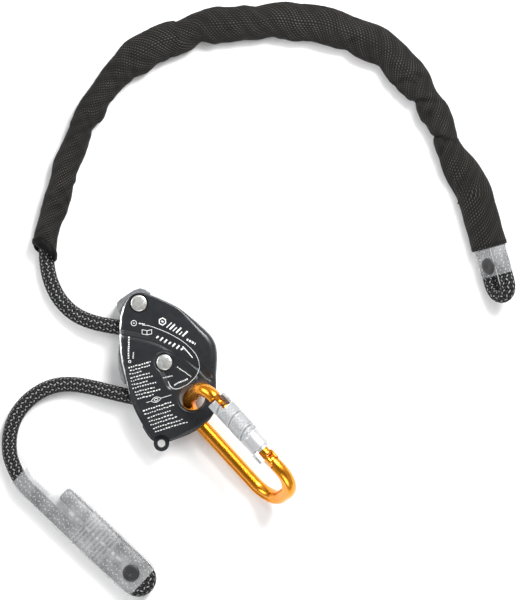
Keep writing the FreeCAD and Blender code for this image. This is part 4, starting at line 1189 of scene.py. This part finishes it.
    # rows of fine dashes on the lower plateau
    rows_ = [((129, 367.5), (151, 361.5)), ((130.5, 370.5), (151, 365)), ((130, 374), (142, 371)), ((131, 377.8), (150, 372.8)),
             ((131.5, 381), (153, 375.5)), ((132.5, 384.5), (148, 380.8)), ((133, 388), (156.5, 382)), ((135.5, 391.8), (155.5, 386.8)),
             ((136.5, 395), (161, 389)), ((138, 398.2), (154, 394.3)),
             ((143.5, 410.5), (171.5, 401.5)), ((145, 413.8), (174.5, 404.5)), ((148, 417.5), (172, 410)),
             ((149.5, 421), (173, 413.8)), ((151, 424.5), (178, 416)), ((153.5, 428), (184, 418.5)), ((155.5, 431), (189, 421))]
    for k, (p0, p1) in enumerate(rows_):
        dash_row(px(p0), px(p1), 0.85 if k not in (0, 10) else 1.0, 17 + k * 5, 0.7, 1.9, 0.8, 0.45)
    # a small lens icon with its leader line
    c = np.array(px((156.5, 399.2)))
    u2 = np.array([math.cos(0.30), math.sin(0.30)])
    v2 = np.array([-u2[1], u2[0]])
    for sg in (1, -1):
        strip([c + u2 * x + v2 * sg * 1.9 * (1 - (x / 3.8) ** 2) for x in np.linspace(-3.8, 3.8, 16)], 0.38)
    strip([c + u2 * 1.5 * math.cos(t) + v2 * 1.0 * math.sin(t) for t in np.linspace(0, 2 * math.pi, 18)], 0.4)
    strip([c - u2 * 7.5, c - u2 * 4.0], 0.32)
    strip([c + u2 * 4.0, c + u2 * 12.0], 0.32)
    # short rows in the pocket
    dash_row(px((177.5, 366.5)), px((191.5, 376.5)), 0.8, 41, 0.35, 0.9, 0.45, 0.3)
    dash_row(px((163.5, 377.5)), px((173.5, 375.5)), 0.8, 47, 0.35, 0.9, 0.4, 0.3)
    dash_row(px((174.5, 384.5)), px((188, 378.5)), 1.2, 53, 0.4, 1.1, 0.5, 0.4)
    return make("plate_print", vv, ff, "print_white", "body", fix=False)


plate_print = prints()


def bare_edge_and_highlight():
    """bright steel strip along the left-hand rim: partly bare metal where the coating is worn, partly a painted
    highlight on the rounded edge
    """
    rim = closed_curve(OUTLINE, 0.5)
    T = np.roll(rim, -1, axis=0) - np.roll(rim, 1, axis=0)
    T /= np.linalg.norm(T, axis=1)[:, None]
    inn = np.stack([T[:, 1], -T[:, 0]], axis=1)
    sel = np.where((rim[:, 0] < -24.0) & (rim[:, 1] > -24) & (rim[:, 1] < 50.5))[0]
    vv, ff = [], []
    for k, i in enumerate(sel):
        y = rim[i, 1]
        w = 1.15 * smooth01((50.5 - y) / 10) * (0.45 + 0.55 * smooth01((y + 24) / 26))
        w *= 1 + 0.12 * math.sin(y * 0.7) + 0.08 * math.sin(y * 1.9)
        a, b = rim[i] + inn[i] * 0.30, rim[i] + inn[i] * (0.32 + max(w, 0.05))
        za, zb = plate_z(a)[0], plate_z(b)[0]
        vv += [(a[0], a[1], za + 0.14), (b[0], b[1], zb + 0.12), (b[0], b[1], zb - 0.10), (a[0], a[1], za - 0.10)]
    for k in range(len(sel) - 1):
        p, q = 4 * k, 4 * k + 4
        for c in range(4):
            ff.append((p + c, p + (c + 1) % 4, q + (c + 1) % 4, q + c))
    ff.append((3, 2, 1, 0))
    e = 4 * (len(sel) - 1)
    ff.append((e, e + 1, e + 2, e + 3))
    return make("plate_bare_edge", vv, ff, "rivet_steel", "body", smooth=math.radians(60))


plate_edge_and_highlight = bare_edge_and_highlight()

# ------------------------------------------------------------------ axles


def axle(name, c, shank, front, rear, node):
    prof = [(0.0, rear[1] - 0.0), (rear[0] * 0.72, rear[1]), (rear[0], rear[1] + 0.45), (rear[0], rear[2]), (shank, rear[2]),
            (shank, front[1]), (front[0], front[1])]
    r, z0, z1 = front[0], front[1], front[2]
    prof += [(r, z1 - 0.75), (r * 0.93, z1 - 0.33), (r * 0.78, z1 - 0.13), (r * 0.5, z1 - 0.03), (0.0, z1)]
    prof = fillet_profile(prof, 0.3, 4)
    R = np.array(lathe(prof, 96))
    R[:, :, 0] += c[0]
    R[:, :, 1] += c[1]
    v, f = loft(R, caps=False)
    return make(name, v, f, "rivet_steel", "body", [node])


top_axle = axle("top_axle_rivet", TOP_AXLE, 4.0, (6.15, 23.15, 24.85), (6.15, 0.0, 1.2), "top_axle")
cam_axle = axle("cam_axle_rivet", (0, 0), 5.0, (5.9, 22.5, 24.75), (5.9, 0.0, 1.2), "cam_axle")

# ------------------------------------------------------------------ carabiner
CAR = local((12.8, -31.6, 5.4), (0.675, -0.738, 0),
            (0.738 * 0.480 / math.hypot(.738, .675), 0.675 * 0.480 / math.hypot(.738, .675), 0.877))
GV = 47.0


def arc(cx, cy, r, a0, a1, step=0.9):
    n = max(6, int(abs(a1 - a0) * math.pi / 180 * r / step))
    return [(cx + r * math.cos(math.radians(a0 + (a1 - a0) * i / n)), cy + r * math.sin(math.radians(a0 + (a1 - a0) * i / n)))
            for i in range(n + 1)]


def run(a, b, step=0.9):
    n = max(2, int(math.dist(a, b) / step))
    return [(a[0] + (b[0] - a[0]) * i / n, a[1] + (b[1] - a[1]) * i / n) for i in range(1, n)]


def carabiner():
    P = [(20.4, GV), (18.9, GV)] + [(18.7, GV), (18.2, GV), (15.5, GV), (13.2, GV)]
    kinds = [4.0, 4.2, 3.6, 3.2, 3.2, 4.3]
    body_ = arc(12.4, 34.6, 12.4, 90, 180) + run((0, 34.6), (0, 20)) + arc(20, 20, 20, 180, 270) + run((20, 0), (81, 0), 1.4)
    body_ += arc(81, 20, 20, -90, 0) + run((101, 20), (101, 30)) + arc(84, 30, 17, 0, 90) + run((84, 47), (81.0, 47), 0.8)
    kinds += [5.1] * len(body_)
    P += body_
    P = np.array(P, float)
    T = np.gradient(P, axis=0)
    T /= np.linalg.norm(T, axis=1)[:, None]
    out = np.stack([T[:, 1], -T[:, 0]], axis=1)   # outward side of the ring (right of travel)
    L = np.concatenate([[0], np.cumsum(np.linalg.norm(np.diff(P, axis=0), axis=1))])
    m = 72
    a = np.arange(m) / m * 2 * np.pi
    rings = []
    total = L[-1]
    s_spine0 = L[6 + len(arc(12.4, 34.6, 12.4, 90, 180))]
    for i, (p, r) in enumerate(zip(P, kinds)):
        s = L[i]
        # forged I-section on the spine, fading towards the nose and the hinge
        ch = smooth01((s - 52) / 14) * (1 - smooth01((s - (total - 16)) / 10))
        # flatter boss at the hinge end: the section eases 4 % thinner in the ring's plane
        boss = smooth01((s - (total - 15)) / 9)
        ring = []
        for t in a:
            c, sn = math.cos(t), math.sin(t)
            q = 1 - 0.12 * ch
            x = r * math.copysign(abs(c) ** q, c)
            w = r * math.copysign(abs(sn) ** q, sn)
            if ch > 0:
                # a groove along each flat face, and two fine ribs on the outer side
                g = math.exp(-((x + 0.6) / 1.55) ** 2) * (abs(sn) ** 2)
                w -= math.copysign(1.25 * ch * g, sn)
                o_ = max(0.0, c)
                rib = 0.07 * ch * math.cos(w * 2.9) * o_ ** 3
                x += rib - 0.07 * ch * o_ ** 3
            if boss > 0:
                w *= 1 + 0.0 * boss
                x *= 1 - 0.04 * boss
            ring.append((p[0] + out[i, 0] * x, p[1] + out[i, 1] * x, w))
        rings.append(ring)
    R = np.array(rings)
    # hinge boss: the section runs on towards the pivot and ends in a seat round the gate's ears
    last = R[-1].copy()
    seat = lambda vv_: 75.0 + np.sqrt(np.clip(4.75 ** 2 - (vv_ - GV) ** 2, 0, None))
    extra = []
    for k in range(1, 13):
        q = last.copy()
        t = k / 12
        q[:, 1] = GV + (last[:, 1] - GV) * (1 - 0.05 * t)
        q[:, 2] = last[:, 2] * (1 - 0.05 * t)
        q[:, 0] = np.maximum(81.0 - 4.6 * t, seat(q[:, 1]))
        extra.append(q)
    for t in (0.97, 0.9, 0.8, 0.65, 0.5, 0.35, 0.2, 0.08):
        q = extra[11].copy()
        q[:, 1] = GV + (q[:, 1] - GV) * t
        q[:, 2] *= t
        q[:, 0] = np.maximum(76.4 if t > 0.9 else 0.0, seat(q[:, 1]))
        extra.append(q)
    R = np.concatenate([R, np.array(extra)])
    v, f = loft(carried(CAR, R.reshape(-1, 3)).reshape(R.shape))
    # tang between the gate's ears
    n = 40
    prof = []
    for t in np.linspace(-90, 90, n):
        prof.append((75 - 4.15 * math.cos(math.radians(t)), GV + 4.15 * math.sin(math.radians(t))))
    prof += [(80.6, GV + 4.15), (80.6, GV - 4.15)]
    prof = np.array(prof)
    cen = prof.mean(axis=0)
    lay = []
    for w, sc in ((-2.0, 0.94), (-1.75, 1.0), (1.75, 1.0), (2.0, 0.94)):
        q = cen + (prof - cen) * sc
        lay.append(np.concatenate([q, np.full((len(q), 1), w)], axis=1))
    R2 = np.array(lay)
    v2, f2 = loft(carried(CAR, R2.reshape(-1, 3)).reshape(R2.shape))
    off = len(v)
    return make("carabiner_body", v + v2, f + [tuple(i + off for i in q) for q in f2], "anodised_orange", "connector",
                ["carabiner_frame"], smooth=math.radians(50))


carabiner_ob = carabiner()


def gate_body():
    """rod, collar and rounded fork, with the fork's slot and cheeks as seen at the hinge"""
    vv, ff = [], []

    def put(v_, f_):
        off = len(vv)
        vv.extend(v_)
        ff.extend([tuple(i + off for i in q) for q in f_])

    m = 72
    al = np.arange(m) / m * 2 * np.pi
    st = [(21.3, 3.4), (21.5, 3.9), (22.2, 4.15), (40.0, 4.2), (59.6, 4.2), (60.0, 5.2), (60.2, 5.45), (61.0, 5.45),
          (61.2, 5.2), (61.4, 4.3), (66.0, 4.25), (68.4, 4.35), (69.6, 4.5), (70.0, 4.4)]
    R = np.array([[(u, GV + r * math.cos(t), r * math.sin(t)) for t in al] for u, r in st])
    put(*loft(carried(CAR, R.reshape(-1, 3)).reshape(R.shape)))
    for sg in (-1, 1):
        # one cheek: round about the pivot, blending back into the rod
        n = 44
        prof = [(75 + 4.3 * math.cos(t), GV + 4.3 * math.sin(t)) for t in np.linspace(-math.pi / 2, math.pi / 2, n)]
        prof += [(u, GV + 4.3 - 0.25 * math.sin((75 - u) / 6.5 * math.pi)) for u in np.linspace(74.5, 68.6, 10)]
        prof += [(u, GV - 4.3 + 0.25 * math.sin((75 - u) / 6.5 * math.pi)) for u in np.linspace(68.6, 74.5, 10)]
        prof = np.array(prof)
        cen = np.array([73.0, GV])
        lay = []
        for w, sc in ((2.3, 0.97), (2.42, 1.0), (2.9, 1.0), (3.4, 0.985), (3.9, 0.93), (4.25, 0.84), (4.5, 0.70), (4.6, 0.50)):
            q = cen + (prof - cen) * sc
            lay.append(np.concatenate([q, np.full((len(q), 1), w * sg)], axis=1))
        R = np.array(lay)
        put(*loft(carried(CAR, R.reshape(-1, 3)).reshape(R.shape)))
    return make("gate_fork", vv, ff, "anodised_orange", "gate", ["gate"], smooth=math.radians(50))


gate_ob = gate_body()


def lock_sleeve():
    """plain nose with a slot, knurled middle with three slanted grooves, plain end"""
    u0, u1, ro, ri = 14.2, 62.5, 8.25, 6.5
    nu, nt = ((250, 288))
    us = np.linspace(u0, u1, nu)
    th = np.arange(nt) / nt * 2 * np.pi       # th = 0 on +v
    U, TH = np.meshgrid(us, th, indexing="ij")
    r = np.full_like(U, ro)
    # grooves square to a slanted axis
    inside = np.zeros_like(U)
    for gu in (21.5, 34.5, 47.5):
        n = np.array([1, 0.42]); n = n / np.linalg.norm(n)
        dist = (U - gu) * n[0] + (ro * np.cos(TH)) * n[1]
        g = smooth01(1 - np.abs(dist - 0.65) / 1.15)
        inside = np.maximum(inside, g)
    # knurl between the nose ring and the plain end
    c = ro * TH
    pitch = 2 * math.pi * ro / 32
    ka = np.abs(((U + c) / pitch / 1.0) % 1 - 0.5) * 2
    kb = np.abs(((U - c) / pitch / 1.0) % 1 - 0.5) * 2
    kn = np.clip(np.minimum(ka, kb) * 2.0, 0, 1)
    zone = smooth01((U - 23.4) / 0.5) * smooth01((49.6 - U) / 0.5)
    zone *= smooth01((np.minimum.reduce([np.abs((U - gu) * 0.922 + ro * np.cos(TH) * 0.387 - 0.65) for gu in (21.5, 34.5, 47.5)]) - 1.0) / 0.5)
    r -= (1 - kn) * 0.30 * zone
    r -= inside * 0.85
    # plain end is turned down a touch, with rounded rims
    r -= 0.18 * smooth01((U - 50.4) / 0.6)
    for e, dd in ((U - u0, 0), (u1 - U, 0)):
        q = np.clip(1 - e / 0.7, 0, 1)
        r -= 0.6 * (1 - np.sqrt(np.clip(1 - q * q, 0, 1)))
    outer = np.stack([U, GV + r * np.cos(TH), r * np.sin(TH)], axis=2)
    inner = np.stack([U, GV + ri * np.cos(TH), ri * np.sin(TH)], axis=2)
    # slot on the +v side of the nose: its edges follow the grid
    half = math.asin(4.7 / ro)
    k = int(round(half / (2 * np.pi) * nt))
    j0 = int(np.searchsorted(us, 22.9))
    keep = np.ones((nu - 1, nt), bool)
    for j in range(nt):
        if j < k or j >= nt - k:
            keep[:j0, j] = False
    V_ = np.concatenate([outer.reshape(-1, 3), inner.reshape(-1, 3)])
    base = nu * nt
    idx = lambda i, j: i * nt + j % nt
    faces = []
    for i in range(nu - 1):
        for j in range(nt):
            if keep[i, j]:
                q = (idx(i, j), idx(i, j + 1), idx(i + 1, j + 1), idx(i + 1, j))
                faces.append(q)
                faces.append(tuple(x + base for x in q[::-1]))
    cnt = {}
    for q in faces[::2]:
        for a, b in zip(q, q[1:] + q[:1]):
            cnt[(a, b)] = 1
    for (a, b) in cnt:
        if (b, a) not in cnt:
            faces.append((b, a, a + base, b + base))
    used = sorted({i for q in faces for i in q})
    rm = {o: i for i, o in enumerate(used)}
    v = carried(CAR, V_[used])
    # painted shade mask: the knurl's cuts and the slanted grooves, read by the knurl material to darken the colour
    groove_shade_paint = np.concatenate([((1 - kn) * zone + inside * 0.75).ravel(), np.zeros(base)])[used]
    return make("lock_sleeve_knurled", v, [tuple(rm[i] for i in q) for q in faces], "knurl_silver", "lock_sleeve",
                ["lock_sleeve"], attrs={"groove": groove_shade_paint}, smooth=math.radians(40))


sleeve_lock = lock_sleeve()


# ------------------------------------------------------------------ bevelled copies of machined parts: helper only, not called
def eased(node, name, mat, body, width, segs=3, angle=32):
    src = bpy.data.objects[node] if node in bpy.data.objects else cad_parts[node]
    me = src.data.copy()
    ob = bpy.data.objects.new(name, me)
    bpy.context.scene.collection.objects.link(ob)
    me.materials.clear()
    me.materials.append(M[mat])
    bm = bmesh.new()
    bm.from_mesh(me)
    bmesh.ops.remove_doubles(bm, verts=bm.verts, dist=2e-6)
    bmesh.ops.dissolve_limit(bm, angle_limit=math.radians(1.0), verts=bm.verts, edges=bm.edges)
    bm.to_mesh(me)
    bm.free()
    for at in [a.name for a in me.attributes if a.name in ("sharp_edge", "sharp_face", "custom_normal")]:
        me.attributes.remove(me.attributes[at])
    md = ob.modifiers.new("edges", "BEVEL")
    md.width = width
    md.segments = segs
    md.limit_method = "ANGLE"
    md.angle_limit = math.radians(angle)
    md.use_clamp_overlap = True
    md.harden_normals = False
    with bpy.context.temp_override(object=ob, active_object=ob, selected_objects=[ob]):
        bpy.ops.object.modifier_apply(modifier="edges")
    me = ob.data
    me.shade_smooth()
    me.set_sharp_from_angle(angle=math.radians(35))
    for p in me.polygons:
        p.material_index = 0
    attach(ob, body)
    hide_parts(node)
    return ob


# ------------------------------------------------------------------ materials on the CAD nodes that stay
LOOK = {"plate_black": ["rear_plate", "eye_spacer"], "lever_grey": ["release_lever"],
        "cam_steel": ["cam", "rope_guide", "cam_washers"], "bush_brass": ["lever_bush", "cam_bush"],
        "spring_steel": ["lever_spring", "cam_spring", "gate_spring", "sleeve_spring"],
        "pin_steel": ["lever_pin", "drive_pin", "gate_pivot_pin", "guide_pin", "gate_plunger"],
        "sleeve_silver": ["sleeve_carrier"]}
for mat, nodes in LOOK.items():
    for node in nodes:
        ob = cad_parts[node]
        ob = bpy.data.objects[ob] if isinstance(ob, str) else ob
        for s in ob.material_slots:
            s.material = M[mat]

# ------------------------------------------------------------------ floor
bm = bmesh.new()
bmesh.ops.create_grid(bm, x_segments=1, y_segments=1, size=4.0)
me = bpy.data.meshes.new("floor")
bm.to_mesh(me)
bm.free()
floor = bpy.data.objects.new("floor", me)
bpy.context.scene.collection.objects.link(floor)
fm = Mat("floor_white")
fm.set(Base_Color=(0.93, 0.93, 0.93, 1), Roughness=0.9, Specular_IOR_Level=0.1)
me.materials.append(fm.m)
